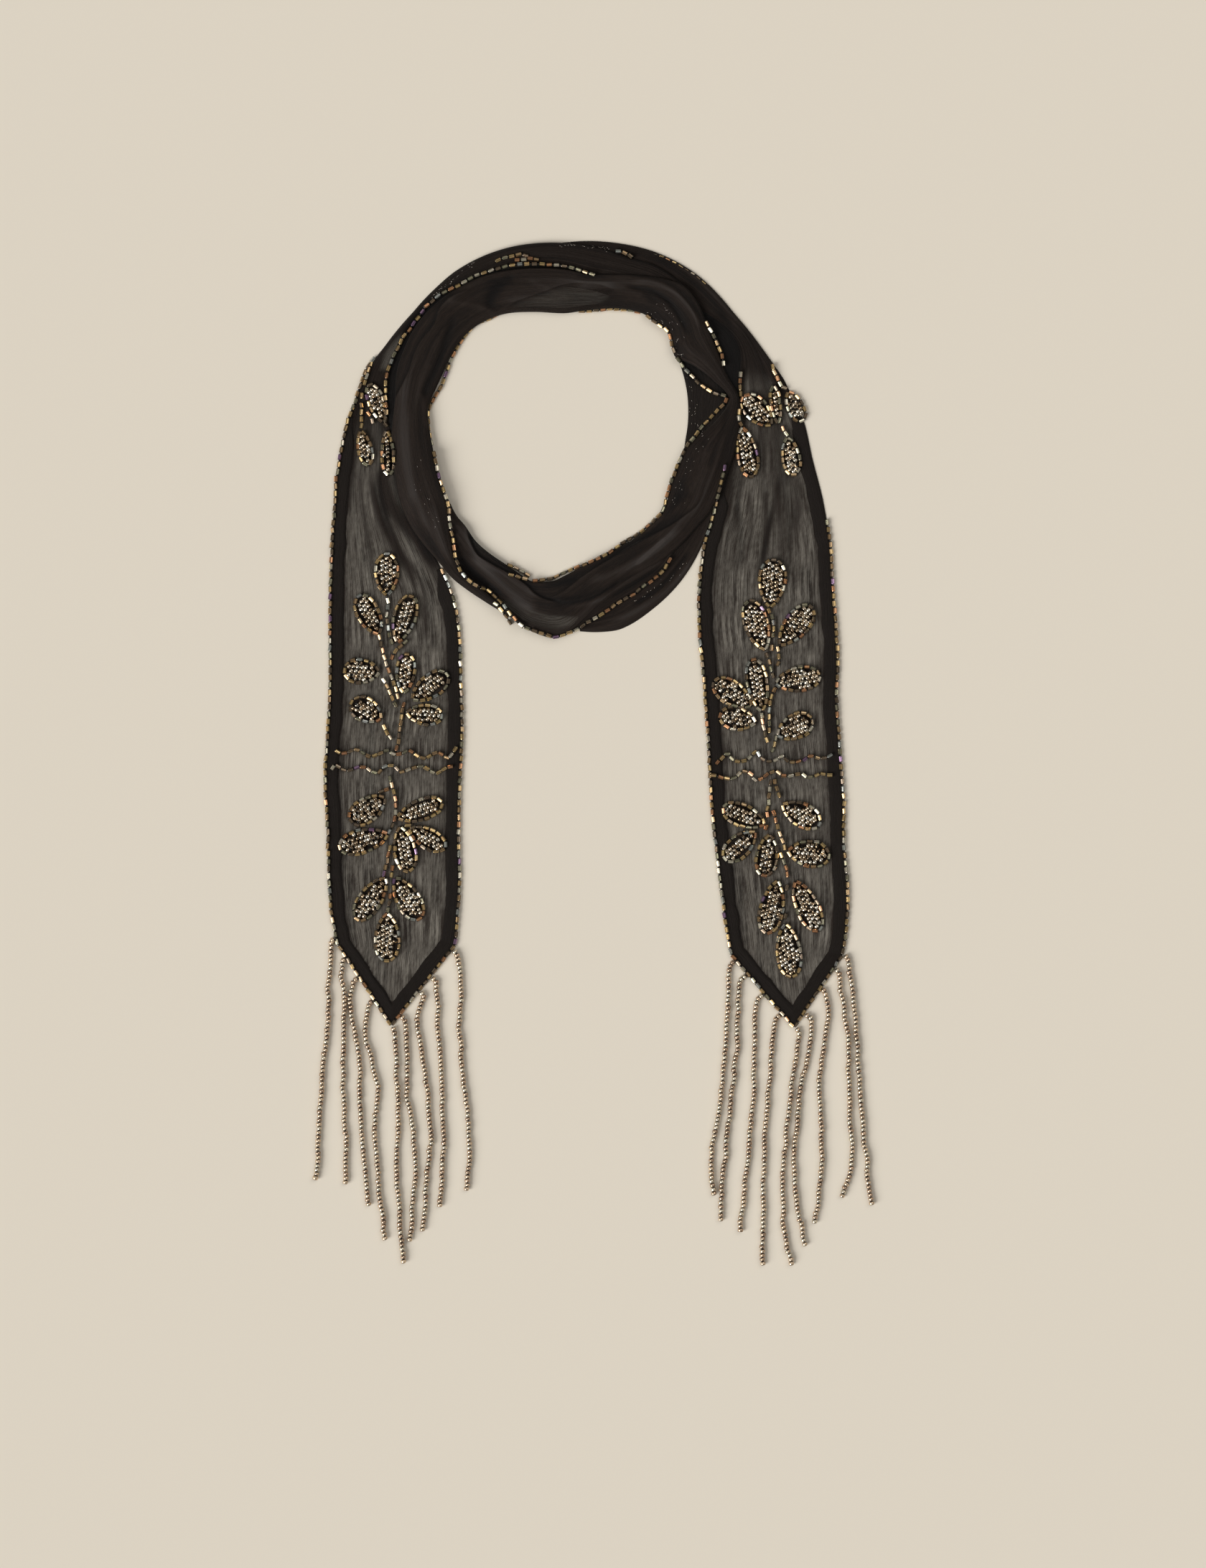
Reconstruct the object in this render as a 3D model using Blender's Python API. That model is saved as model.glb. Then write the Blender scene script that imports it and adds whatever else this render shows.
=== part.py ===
"""Skinny scarf of sheer crinkled chiffon, wound flat into a ring.

One long narrow strip lies on a surface in a ring of two and a half turns.
Both ends hang straight out of the ring as tails.  A tail is cut to a V point,
has an opaque hem border turned double, and a fringe of bead strands.

Frame: metres, +Z up, the surface is z = 0.  +Y runs from the fringe to the
ring, +X to the right.  The origin is under the middle of the outline box.
All sizes below are in millimetres.
"""
import math

import bpy
import bmesh

# ---------------------------------------------------------------- main sizes
MM = 0.001
WALL = 1.2            # one stretch of crinkled, folded chiffon
GAP = 0.3             # air left at every seam and between layers
BORDER = 7.6          # hem border on the tails, turned double
STRAND = 2.8          # bead strand, outside diameter
CORE_HEIGHT = 1.8     # the hidden layers of the ring

RING_X, RING_Y = -21.0, 176.0     # middle of the ring
SHIFT_X, SHIFT_Y = 0.204, -0.164       # moves the outline box over the origin

ROW_STEP = 9.0        # spacing of the sections along a tail
TURN_STEP = 5.5       # spacing of the sections round the ring, in degrees
ACROSS = (0.0, 0.1, 0.22, 0.34, 0.46, 0.58, 0.7, 0.8, 0.9, 1.0)

# ------------------------------------------------------------------ colours
CHIFFON = ((0.022, 0.019, 0.016), 0.75, 0.0)
SHEER = ((0.095, 0.085, 0.073), 0.80, 0.0)
BEADS = ((0.30, 0.23, 0.15), 0.30, 0.85)

# ------------------------------------------------------------------- tables
# A tail, a row for each section: height on the page, its two edges, and how
# much higher the right end of the section is than its middle.
TAIL_COLUMNS = ("y", "x_left", "x_right", "tilt")
LEFT_TAIL = [
    (195.7, -132.6, -115.8, -1.7),
    (190.0, -135.2, -114.2, -1.0),
    (180.0, -138.6, -111.0, 0.0),
    (155.0, -143.2, -107.8, 0.0),
    (140.0, -144.3, -104.2, 0.0),
    (120.0, -145.8, -93.8, 0.0),
    (103.6, -146.6, -85.4, 0.0),
    (89.0, -146.9, -79.0, 0.0),
    (70.0, -147.0, -75.4, 0.0),
    (32.0, -147.2, -73.8, 0.0),
    (10.0, -148.6, -73.6, 0.0),
    (-13.0, -149.8, -74.6, 0.0),
    (-45.0, -148.2, -75.3, 0.0),
    (-69.0, -147.8, -74.8, 0.0),
    (-92.0, -145.8, -76.0, 0.0),
    (-106.5, -142.6, -77.4, 0.0),
]
LEFT_POINT = (-113.0, -151.2)
RIGHT_TAIL = [
    (202.5, 76.2, 107.0, 3.6),
    (194.0, 76.2, 111.8, 2.4),
    (184.0, 76.2, 117.0, 1.0),
    (164.0, 75.4, 121.8, 0.0),
    (144.0, 71.0, 127.0, 0.0),
    (132.0, 67.0, 129.3, 0.0),
    (116.0, 61.4, 131.8, 0.0),
    (93.0, 58.6, 133.0, 0.0),
    (70.0, 58.6, 135.0, 0.0),
    (51.6, 60.2, 135.8, 0.0),
    (33.0, 61.8, 135.2, 0.0),
    (-3.0, 64.2, 137.4, 0.0),
    (-28.0, 65.5, 139.2, 0.0),
    (-50.0, 67.8, 139.2, 0.0),
    (-74.0, 70.6, 141.4, 0.0),
    (-96.0, 73.6, 140.7, 0.0),
    (-112.0, 76.4, 138.3, 0.0),
]
RIGHT_POINT = (111.4, -152.4)

# A stretch of the ring, a row for each section: bearing clockwise from +Y in
# degrees, its inner and outer edge as radii, and the height of its underside
# at the inner edge, the middle and the outer edge.
TURN_COLUMNS = ("bearing", "r_in", "r_out", "z_in", "z_mid", "z_out")
OUTER_TURN_TOP_LEFT = [
    (281.0, 96.5, 113.6, 0.0, 0.2, 0.0),
    (287.0, 98.5, 113.0, 0.0, 0.6, 0.0),
    (293.0, 100.3, 110.6, 0.3, 1.0, 0.0),
    (298.5, 101.5, 108.3, 0.9, 1.3, 0.3),
    (310.0, 103.0, 106.3, 1.2, 1.5, 0.6),
    (316.0, 103.2, 106.6, 1.3, 1.5, 0.8),
    (322.0, 102.5, 107.3, 1.4, 1.6, 1.0),
    (329.0, 100.9, 108.5, 1.5, 1.7, 1.2),
    (344.0, 98.1, 109.2, 1.5, 1.7, 1.5),
    (361.0, 95.2, 108.6, 1.5, 1.7, 1.5),
    (372.7, 92.7, 108.2, 1.5, 1.7, 1.5),
    (382.6, 95.4, 108.3, 1.5, 1.7, 1.5),
    (390.2, 97.4, 110.6, 1.5, 1.7, 1.5),
    (399.9, 100.5, 110.5, 1.5, 1.7, 1.5),
    (405.0, 102.0, 108.6, 1.5, 1.7, 1.5),
    (409.0, 103.0, 107.5, 1.5, 1.7, 1.5),
]
OUTER_TURN_TOP_RIGHT = [
    (356.0, 103.5, 107.2, 0.0, 0.0, 0.0),
    (362.0, 103.0, 108.9, 0.0, 0.0, 0.0),
    (376.4, 103.2, 113.4, 0.0, 0.0, 0.0),
    (388.5, 103.6, 117.4, 0.0, 0.0, 0.0),
    (400.5, 103.5, 120.0, 0.0, 0.0, 0.0),
    (412.4, 102.5, 120.8, 0.0, 0.0, 0.0),
    (425.5, 100.8, 124.4, 0.0, 0.0, 0.0),
    (432.0, 100.2, 128.2, 0.0, 0.0, 0.0),
    (436.5, 99.9, 131.5, 0.0, 0.0, 0.0),
]
OUTER_TURN_BOTTOM_RIGHT = [
    (113.0, 88.0, 95.3, 0.0, 0.0, 0.0),
    (125.0, 87.0, 100.3, 0.0, 0.0, 0.0),
    (139.0, 86.3, 105.8, 0.0, 0.0, 0.0),
    (150.0, 86.0, 109.3, 0.0, 0.0, 0.0),
    (161.0, 88.5, 112.4, 0.0, 0.0, 0.0),
    (167.0, 92.0, 111.0, 0.0, 0.0, 0.0),
    (173.0, 98.0, 108.6, 0.0, 0.0, 0.0),
]
INNER_TURN_LEFT = [
    (190.0, 105.6, 108.1, 4.0, 4.1, 3.2),
    (193.4, 101.2, 103.9, 4.0, 4.1, 3.1),
    (197.0, 98.6, 101.9, 4.0, 4.2, 2.9),
    (204.0, 94.9, 99.5, 4.0, 4.3, 2.7),
    (210.0, 92.5, 98.3, 4.0, 4.4, 2.4),
    (216.7, 90.3, 97.3, 4.0, 4.4, 2.2),
    (221.0, 86.5, 95.9, 4.0, 4.5, 2.0),
    (226.2, 81.0, 94.9, 4.0, 4.7, 1.8),
    (232.0, 75.5, 94.8, 4.0, 4.7, 1.7),
    (239.4, 70.7, 94.8, 3.8, 4.6, 1.6),
    (246.0, 69.2, 94.2, 3.8, 4.6, 1.6),
    (256.7, 68.8, 92.5, 3.8, 4.6, 1.6),
    (265.7, 69.0, 92.1, 3.8, 4.6, 1.6),
    (275.0, 71.0, 91.8, 3.2, 4.4, 1.6),
    (282.5, 73.0, 92.2, 2.6, 4.0, 1.6),
    (293.2, 72.3, 96.4, 2.2, 3.8, 1.6),
    (300.5, 72.6, 98.2, 2.1, 3.8, 1.8),
    (308.3, 74.3, 99.9, 2.1, 3.7, 2.0),
    (315.8, 76.0, 100.4, 2.1, 3.6, 2.1),
    (324.8, 76.4, 100.0, 2.1, 3.6, 2.1),
]
INNER_TURN_RIGHT = [
    (325.2, 76.4, 100.0, 2.1, 3.6, 2.1),
    (336.0, 74.9, 98.8, 2.1, 3.4, 2.1),
    (350.0, 71.0, 95.8, 2.1, 3.4, 2.1),
    (363.0, 69.3, 93.8, 2.1, 3.4, 2.7),
    (372.7, 72.5, 93.0, 2.1, 3.5, 3.3),
    (386.0, 80.0, 100.5, 2.1, 3.8, 3.4),
    (394.5, 84.0, 107.0, 2.1, 4.0, 3.4),
    (400.4, 85.0, 110.3, 2.1, 4.0, 3.4),
    (407.3, 85.5, 108.3, 2.1, 4.0, 3.4),
    (411.0, 83.5, 106.1, 2.1, 4.0, 3.2),
    (415.6, 80.0, 104.0, 2.1, 4.0, 2.6),
    (422.0, 86.0, 102.0, 2.4, 3.6, 1.9),
    (430.0, 93.0, 101.5, 2.4, 3.0, 1.8),
    (437.4, 98.2, 104.2, 2.2, 2.6, 1.8),
    (444.0, 89.0, 103.0, 2.4, 3.4, 1.8),
    (450.0, 77.5, 101.0, 2.3, 3.8, 1.8),
    (454.0, 71.8, 99.5, 2.1, 4.0, 1.8),
    (460.0, 69.4, 97.0, 2.1, 4.0, 1.7),
    (468.0, 68.1, 95.0, 2.1, 3.8, 1.6),
    (476.0, 69.8, 94.5, 2.1, 3.8, 1.6),
    (482.4, 71.6, 93.0, 2.1, 3.8, 1.6),
    (492.0, 71.6, 91.5, 2.1, 3.6, 1.6),
    (502.0, 71.0, 90.0, 2.1, 3.6, 1.6),
    (509.0, 70.2, 88.8, 2.1, 3.6, 1.6),
    (518.4, 69.7, 91.3, 2.1, 3.6, 1.6),
    (525.0, 71.5, 95.5, 2.1, 3.6, 1.6),
    (532.0, 74.5, 103.4, 2.1, 3.4, 1.6),
    (537.0, 77.2, 109.9, 2.1, 3.2, 1.6),
    (540.8, 79.5, 111.6, 2.1, 3.0, 1.5),
    (544.5, 80.4, 110.3, 2.1, 2.8, 1.5),
    (547.0, 80.8, 108.9, 2.1, 2.6, 1.5),
]
UNDER_TURN_BOTTOM_LEFT = [
    (187.3, 80.9, 108.7, 2.1, 2.6, 1.5),
    (190.0, 81.0, 106.6, 2.1, 2.4, 1.2),
    (195.0, 78.5, 102.6, 2.1, 2.4, 0.6),
    (202.4, 75.7, 97.4, 2.1, 2.4, 0.4),
    (210.0, 74.3, 94.5, 2.1, 2.4, 0.4),
    (217.7, 73.0, 92.0, 2.1, 2.4, 0.4),
    (225.7, 70.6, 90.0, 2.1, 2.4, 0.4),
    (232.0, 70.4, 88.5, 2.1, 2.4, 0.4),
    (240.5, 69.2, 87.0, 2.1, 2.4, 0.4),
    (252.0, 70.2, 86.0, 2.1, 2.4, 0.4),
    (264.0, 71.0, 85.0, 2.1, 2.4, 0.4),
]

# The hidden layers: a row for each section, its two edges.
CORE_COLUMNS = ("bearing", "r_in", "r_out")
RING_CORE = [
    (0.0, 71.5, 90.0),
    (15.0, 75.5, 90.0),
    (30.0, 83.0, 95.0),
    (45.0, 87.0, 98.0),
    (55.6, 81.3, 98.0),
    (62.5, 79.2, 97.0),
    (77.0, 75.4, 96.0),
    (91.0, 71.9, 92.0),
    (100.0, 70.9, 90.0),
    (110.0, 70.0, 86.0),
    (122.0, 73.0, 84.0),
    (136.0, 73.0, 83.5),
    (158.0, 71.4, 83.0),
    (172.0, 76.0, 86.0),
    (186.0, 82.0, 90.0),
    (195.0, 80.2, 90.0),
    (205.0, 77.2, 88.0),
    (218.0, 75.0, 84.5),
    (228.0, 72.4, 82.0),
    (240.0, 71.0, 80.0),
    (264.0, 72.6, 80.5),
    (285.0, 75.0, 85.0),
    (296.0, 74.0, 87.0),
    (315.0, 77.6, 92.0),
    (326.0, 77.9, 93.0),
    (336.0, 76.5, 92.0),
    (350.0, 72.6, 90.0),
    (360.0, 71.5, 90.0),
]

# A lengthwise pleat: where it lies across the stretch, how high it stands
# and how wide it is, as a share of the width.
PLEAT_COLUMNS = ("across", "height", "half_width")
PLEATS = {
    "outer_turn_top_left": [(0.70, 0.15, 0.12)],
    "outer_turn_top_right": [(0.70, 0.15, 0.10)],
    "outer_turn_bottom_right": [(0.80, 0.20, 0.10)],
    "inner_turn_left": [(0.22, 0.30, 0.08), (0.58, 0.35, 0.10)],
    "inner_turn_right": [(0.34, 0.35, 0.08), (0.70, 0.30, 0.08)],
    "under_turn_bottom_left": [(0.46, 0.20, 0.10)],
}

# A fringe strand: where it starts, where it ends, and how far it sways
# sideways at four shares of its length.
STRAND_COLUMNS = ("x_top", "y_top", "x_end", "y_end", "sway_1", "sway_2", "sway_3", "sway_4")
SWAY_AT = (0.1, 0.35, 0.6, 0.85)
STRANDS = {
    "left": [
        (-146.4, -103.7, -155.3, -237.1, 0.2, 0.6, -0.4, 0.4),
        (-140.0, -114.7, -138.2, -239.6, -0.4, 0.4, -0.5, 0.3),
        (-133.9, -126.3, -125.3, -251.8, -3.0, -0.3, -1.0, -0.7),
        (-125.3, -139.2, -116.8, -270.8, -2.9, 1.5, -1.6, -0.6),
        (-111.2, -154.2, -106.4, -283.7, 0.8, 0.7, -1.2, -0.5),
        (-105.1, -148.2, -102.7, -271.4, 0.2, 0.7, 4.2, 2.3),
        (-94.1, -134.8, -95.3, -265.9, -4.6, 1.0, 3.4, 1.8),
        (-88.0, -126.3, -85.5, -252.4, 0.4, 1.5, 2.6, 1.1),
        (-76.2, -111.4, -71.5, -243.3, 1.6, -0.2, 1.5, 3.2),
    ],
    "right": [
        (75.6, -117.8, 66.8, -245.9, 0.1, 0.3, -0.3, -3.0),
        (81.2, -126.4, 71.0, -260.3, 0.3, 1.0, 0.1, -1.1),
        (90.8, -136.8, 81.2, -266.3, -0.7, 2.0, 1.7, 0.6),
        (101.0, -147.6, 93.8, -284.9, -0.6, -1.9, -2.0, -1.1),
        (114.8, -155.2, 110.0, -284.9, -1.4, -4.7, -6.6, -4.7),
        (121.3, -147.6, 117.1, -274.1, -1.2, -4.9, -7.4, -3.9),
        (128.5, -132.0, 122.5, -261.5, 2.6, -0.5, 1.7, 2.2),
        (136.3, -121.2, 138.1, -247.1, 1.7, 5.3, 4.6, 5.9),
        (141.4, -113.4, 154.9, -251.3, 0.6, 0.1, -0.8, -0.7),
    ],
}
STRAND_SECTIONS = 16
STRAND_SIDES = 6


# ---------------------------------------------------------------- functions
def read(rows, columns, key, at):
    """The row at a value of the key column, on smooth curves through rows."""
    k = columns.index(key)
    up = rows[-1][k] > rows[0][k]
    i = 0
    while i < len(rows) - 2 and (rows[i + 1][k] < at) == up:
        i += 1
    span = rows[i + 1][k] - rows[i][k]
    t = min(1.0, max(0.0, (at - rows[i][k]) / span))

    def slope(j, c):
        a, b = max(0, j - 1), min(len(rows) - 1, j + 1)
        return (rows[b][c] - rows[a][c]) / (rows[b][k] - rows[a][k]) * span

    out = {}
    for c, name in enumerate(columns):
        p, q = rows[i][c], rows[i + 1][c]
        m, n = slope(i, c), slope(i + 1, c)
        out[name] = ((2 * t ** 3 - 3 * t ** 2 + 1) * p + (t ** 3 - 2 * t ** 2 + t) * m
                     + (3 * t ** 2 - 2 * t ** 3) * q + (t ** 3 - t ** 2) * n)
    return out


def steps(first, last, size):
    count = max(2, round(abs(last - first) / size))
    return [first + (last - first) * i / count for i in range(count + 1)]


def material(name, look):
    colour, roughness, metallic = look
    mat = bpy.data.materials.new(name)
    mat.use_nodes = True
    shader = mat.node_tree.nodes["Principled BSDF"]
    shader.inputs["Base Color"].default_value = (*colour, 1.0)
    shader.inputs["Roughness"].default_value = roughness
    shader.inputs["Metallic"].default_value = metallic
    return mat


def solid(name, points, faces, look):
    """One closed body from points in millimetres."""
    mesh = bpy.data.meshes.new(name)
    mesh.from_pydata([((x + SHIFT_X) * MM, (y + SHIFT_Y) * MM, z * MM) for x, y, z in points], [], faces)
    bm = bmesh.new()
    bm.from_mesh(mesh)
    bmesh.ops.recalc_face_normals(bm, faces=bm.faces)
    bm.to_mesh(mesh)
    bm.free()
    mesh.shade_smooth()
    mesh.set_sharp_from_angle(angle=math.radians(40))
    mesh.materials.append(material(name, look))
    obj = bpy.data.objects.new(name, mesh)
    bpy.context.scene.collection.objects.link(obj)
    return obj


def loft(name, rings, look, closed=False):
    """Joins rings of points, all with the same count, into one body."""
    n = len(rings[0])
    points = [p for ring in rings for p in ring]
    faces = []
    last = len(rings) if closed else len(rings) - 1
    for i in range(last):
        a, b = i * n, (i + 1) % len(rings) * n
        for j in range(n):
            k = (j + 1) % n
            faces.append((a + j, a + k, b + k, b + j))
    if not closed:
        half = n // 2
        for a in (0, (len(rings) - 1) * n):
            for j in range(half - 1):
                faces.append((a + j, a + j + 1, a + n - 2 - j, a + n - 1 - j))
    return solid(name, points, faces, look)


def polar(bearing, radius):
    a = math.radians(bearing)
    return RING_X + radius * math.sin(a), RING_Y + radius * math.cos(a)


def turn(name, rows, look):
    """A stretch of the ring: a wall of cloth, arched and pleated across."""
    rings = []
    bearings = steps(rows[0][0], rows[-1][0], TURN_STEP)
    for i, bearing in enumerate(bearings):
        row = read(rows, TURN_COLUMNS, "bearing", bearing)
        fade = min(1.0, i / 3.0, (len(bearings) - 1 - i) / 3.0)
        under = []
        for u in ACROSS:
            z = (row["z_in"] * 2 * (u - 0.5) * (u - 1) - row["z_mid"] * 4 * u * (u - 1)
                 + row["z_out"] * 2 * u * (u - 0.5))
            for across, height, half_width in PLEATS.get(name, []):
                z += fade * height * math.exp(-((u - across) / half_width) ** 2)
            x, y = polar(bearing, row["r_in"] + (row["r_out"] - row["r_in"]) * u)
            under.append((x, y, max(0.0, z)))
        top = [(x, y, z + WALL) for x, y, z in reversed(under)]
        rings.append(under + top)
    return loft(name, rings, look)


def core(name, rows, look):
    """The hidden layers of the ring as one rounded solid."""
    rings = []
    count = round(360 / TURN_STEP)
    for i in range(count):
        row = read(rows, CORE_COLUMNS, "bearing", 360.0 * i / count)
        a, b, h = row["r_in"], row["r_out"], CORE_HEIGHT
        ease = h * 0.45
        profile = [(a, 0.0), (a, h - ease), (a + ease * 0.3, h - ease * 0.3), (a + ease, h),
                   (b - ease, h), (b - ease * 0.3, h - ease * 0.3), (b, h - ease), (b, 0.0)]
        rings.append([(*polar(360.0 * i / count, r), z) for r, z in profile])
    return loft(name, rings, look, closed=True)


def tail_outline(rows, point):
    """Left and right edge points of a tail, the V's sides straight."""
    left, right = [], []
    for y in steps(rows[0][0], rows[-1][0], ROW_STEP):
        row = read(rows, TAIL_COLUMNS, "y", y)
        left.append((row["x_left"], row["y"] - row["tilt"]))
        right.append((row["x_right"], row["y"] + row["tilt"]))
    foot_left, foot_right = left[-1], right[-1]
    for t in (0.34, 0.67):
        left.append(tuple(a + (b - a) * t for a, b in zip(foot_left, point)))
        right.append(tuple(a + (b - a) * t for a, b in zip(foot_right, point)))
    return left, right


def moved_in(path, widths):
    """The path moved to its left by a width at each point, mitred."""
    out = []
    for i, (x, y) in enumerate(path):
        ax, ay = path[max(0, i - 1)]
        bx, by = path[min(len(path) - 1, i + 1)]
        d1 = math.atan2(y - ay, x - ax) if i else math.atan2(by - y, bx - x)
        d2 = math.atan2(by - y, bx - x) if i < len(path) - 1 else d1
        turn_by = (d2 - d1 + math.pi) % (2 * math.pi) - math.pi
        middle = d1 + turn_by / 2
        reach = widths[i] / max(0.3, math.cos(turn_by / 2))
        out.append((x - math.sin(middle) * reach, y + math.cos(middle) * reach))
    return out


def tail(side, rows, point, sheer, hem):
    """A tail: the sheer panel, and the hem border round its free edges."""
    left, right = tail_outline(rows, point)
    path = left + [point] + right[::-1]
    full = []
    for i in range(len(path)):
        a, b = path[i], path[-1 - i]
        wide = math.hypot(a[0] - b[0], a[1] - b[1])
        high = a[1] - rows[-1][0]
        full.append(BORDER if high < 20 else min(BORDER, 0.3 * wide))
    inner = moved_in(path, full)
    edge = moved_in(path, [w + GAP for w in full])

    rings = []
    for (ox, oy), (ix, iy) in zip(path, inner):
        rings.append([(ox, oy, 0.0), (ix, iy, 0.0), (ix, iy, WALL), (ox, oy, WALL)])
    loft(side + "_tail_border", rings, hem)

    rings = []
    middle = len(path) // 2
    for i in range(middle):
        (ax, ay), (bx, by) = edge[i], edge[-1 - i]
        under = [(ax + (bx - ax) * t, ay + (by - ay) * t, 0.0) for t in (0.0, 0.33, 0.67, 1.0)]
        rings.append(under + [(x, y, WALL) for x, y, z in reversed(under)])
    tip = edge[middle]
    last = rings[-1]
    shrunk = [(tip[0] + (x - tip[0]) * 0.06, tip[1] + (y - tip[1]) * 0.06, z) for x, y, z in last]
    rings.append(shrunk)
    loft(side + "_tail_panel", rings, sheer)


def strand(name, row, look):
    """A bead strand lying on the surface, as a plain round cord."""
    at = dict(zip(STRAND_COLUMNS, row))
    marks = [(0.0, 0.0)] + [(t, at["sway_%d" % (i + 1)]) for i, t in enumerate(SWAY_AT)] + [(1.0, 0.0)]
    length = math.hypot(at["x_end"] - at["x_top"], at["y_end"] - at["y_top"])
    way = ((at["x_end"] - at["x_top"]) / length, (at["y_end"] - at["y_top"]) / length)
    side = (-way[1], way[0])
    path = []
    for i in range(STRAND_SECTIONS + 1):
        t = i / STRAND_SECTIONS
        sway = read(marks, ("t", "sway"), "t", t)["sway"]
        path.append((at["x_top"] + way[0] * length * t + side[0] * sway,
                     at["y_top"] + way[1] * length * t + side[1] * sway))
    flat = STRAND / 2                                  # middle to a flat side
    radius = flat / math.cos(math.pi / STRAND_SIDES)
    rings = []
    for i, (x, y) in enumerate(path):
        ax, ay = path[max(0, i - 1)]
        bx, by = path[min(len(path) - 1, i + 1)]
        run = math.hypot(bx - ax, by - ay)
        nx, ny = -(by - ay) / run, (bx - ax) / run
        ring = []
        for j in range(STRAND_SIDES):
            a = 2 * math.pi * (j + 0.5) / STRAND_SIDES - math.pi / 2     # a flat side down
            ring.append((x + nx * radius * math.cos(a), y + ny * radius * math.cos(a),
                         flat + radius * math.sin(a)))
        rings.append(ring)
    loft(name, rings, look)


# -------------------------------------------------------------------- build
for old in list(bpy.data.objects):
    bpy.data.objects.remove(old, do_unlink=True)

tail("left", LEFT_TAIL, LEFT_POINT, SHEER, CHIFFON)
tail("right", RIGHT_TAIL, RIGHT_POINT, SHEER, CHIFFON)
core("ring_core", RING_CORE, CHIFFON)
turn("outer_turn_top_left", OUTER_TURN_TOP_LEFT, CHIFFON)
turn("outer_turn_top_right", OUTER_TURN_TOP_RIGHT, CHIFFON)
turn("outer_turn_bottom_right", OUTER_TURN_BOTTOM_RIGHT, CHIFFON)
turn("inner_turn_left", INNER_TURN_LEFT, CHIFFON)
turn("inner_turn_right", INNER_TURN_RIGHT, CHIFFON)
turn("under_turn_bottom_left", UNDER_TURN_BOTTOM_LEFT, CHIFFON)
for side_name, rows_of_side in STRANDS.items():
    for number, strand_row in enumerate(rows_of_side, 1):
        strand("%s_strand_%d" % (side_name, number), strand_row, BEADS)
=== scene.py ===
"""The looks of a skinny scarf: crinkled sheer chiffon, wound flat into a ring,
with beaded edges, leaf sprays of beads and a fringe of bead strands.

Sizes are millimetres until a mesh is made.  A place on the cloth is charted in
steps of 0.4 mm, u to the right and v towards the fringe.
"""
import math

import bpy
import numpy as np
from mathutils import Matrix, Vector
from mathutils.bvhtree import BVHTree


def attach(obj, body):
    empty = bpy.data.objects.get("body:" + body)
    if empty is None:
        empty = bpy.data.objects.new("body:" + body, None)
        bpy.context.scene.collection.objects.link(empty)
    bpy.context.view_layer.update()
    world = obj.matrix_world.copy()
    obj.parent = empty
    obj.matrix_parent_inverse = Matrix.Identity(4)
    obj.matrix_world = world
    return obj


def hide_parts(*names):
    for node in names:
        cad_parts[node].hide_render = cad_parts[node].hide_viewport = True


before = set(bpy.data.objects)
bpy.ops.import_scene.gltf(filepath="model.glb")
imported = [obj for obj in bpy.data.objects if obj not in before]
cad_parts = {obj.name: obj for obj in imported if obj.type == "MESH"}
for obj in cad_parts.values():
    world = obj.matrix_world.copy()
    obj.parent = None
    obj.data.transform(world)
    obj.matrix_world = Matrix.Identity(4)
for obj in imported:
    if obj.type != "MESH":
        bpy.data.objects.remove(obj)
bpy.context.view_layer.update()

MM = 0.001
STEP = 0.4                              # one step of the chart
SHIFT_X, SHIFT_Y = 0.204, -0.164        # moves the outline box over the origin
RING_X, RING_Y = -21.0, 176.0           # middle of the ring, before the shift
WALL = 1.2                              # thickness of one laid stretch
BORDER = 7.6                            # hem border on the tails
TUBE_LONG, TUBE_WIDE = 3.4, 2.0         # cut tube beads
SEED_WIDE = 2.8                         # round seed beads
EDGE_PITCH = 4.1                        # tubes along an edge
LINE_PITCH = 3.75                       # tubes round a leaf and along a stem
STRAND_PITCH = 2.3                      # seeds along a strand
rng = np.random.default_rng(4607)


# ------------------------------------------------------------ shape tables
TAIL_COLUMNS = ("y", "x_left", "x_right", "tilt")
LEFT_TAIL = [
    (195.7, -132.6, -113.0, -1.7), (190.0, -135.2, -111.0, -1.0), (180.0, -138.6, -109.2, 0.0),
    (155.0, -143.2, -107.8, 0.0), (140.0, -144.3, -104.2, 0.0), (120.0, -145.8, -93.8, 0.0),
    (103.6, -146.6, -85.4, 0.0), (89.0, -146.9, -79.0, 0.0), (70.0, -147.0, -75.4, 0.0),
    (32.0, -147.2, -73.8, 0.0), (10.0, -148.6, -73.6, 0.0), (-13.0, -149.8, -74.6, 0.0),
    (-45.0, -148.2, -75.3, 0.0), (-69.0, -147.8, -74.8, 0.0), (-92.0, -145.8, -76.0, 0.0),
    (-106.5, -142.6, -77.4, 0.0),
]
LEFT_POINT = (-113.0, -151.2)
RIGHT_TAIL = [
    (202.5, 76.2, 107.0, 3.6), (194.0, 76.2, 111.8, 2.4), (184.0, 75.6, 117.0, 1.0),
    (164.0, 73.6, 121.8, 0.0), (144.0, 69.0, 127.0, 0.0), (132.0, 66.2, 129.3, 0.0),
    (116.0, 61.4, 131.8, 0.0), (93.0, 58.6, 133.0, 0.0), (70.0, 58.6, 135.0, 0.0),
    (51.6, 60.2, 135.8, 0.0), (33.0, 61.8, 135.2, 0.0), (-3.0, 64.2, 137.4, 0.0),
    (-28.0, 65.5, 139.2, 0.0), (-50.0, 67.8, 139.2, 0.0), (-74.0, 70.6, 141.4, 0.0),
    (-96.0, 73.6, 140.7, 0.0), (-112.0, 76.4, 138.3, 0.0),
]
RIGHT_POINT = (111.4, -152.4)

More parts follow.
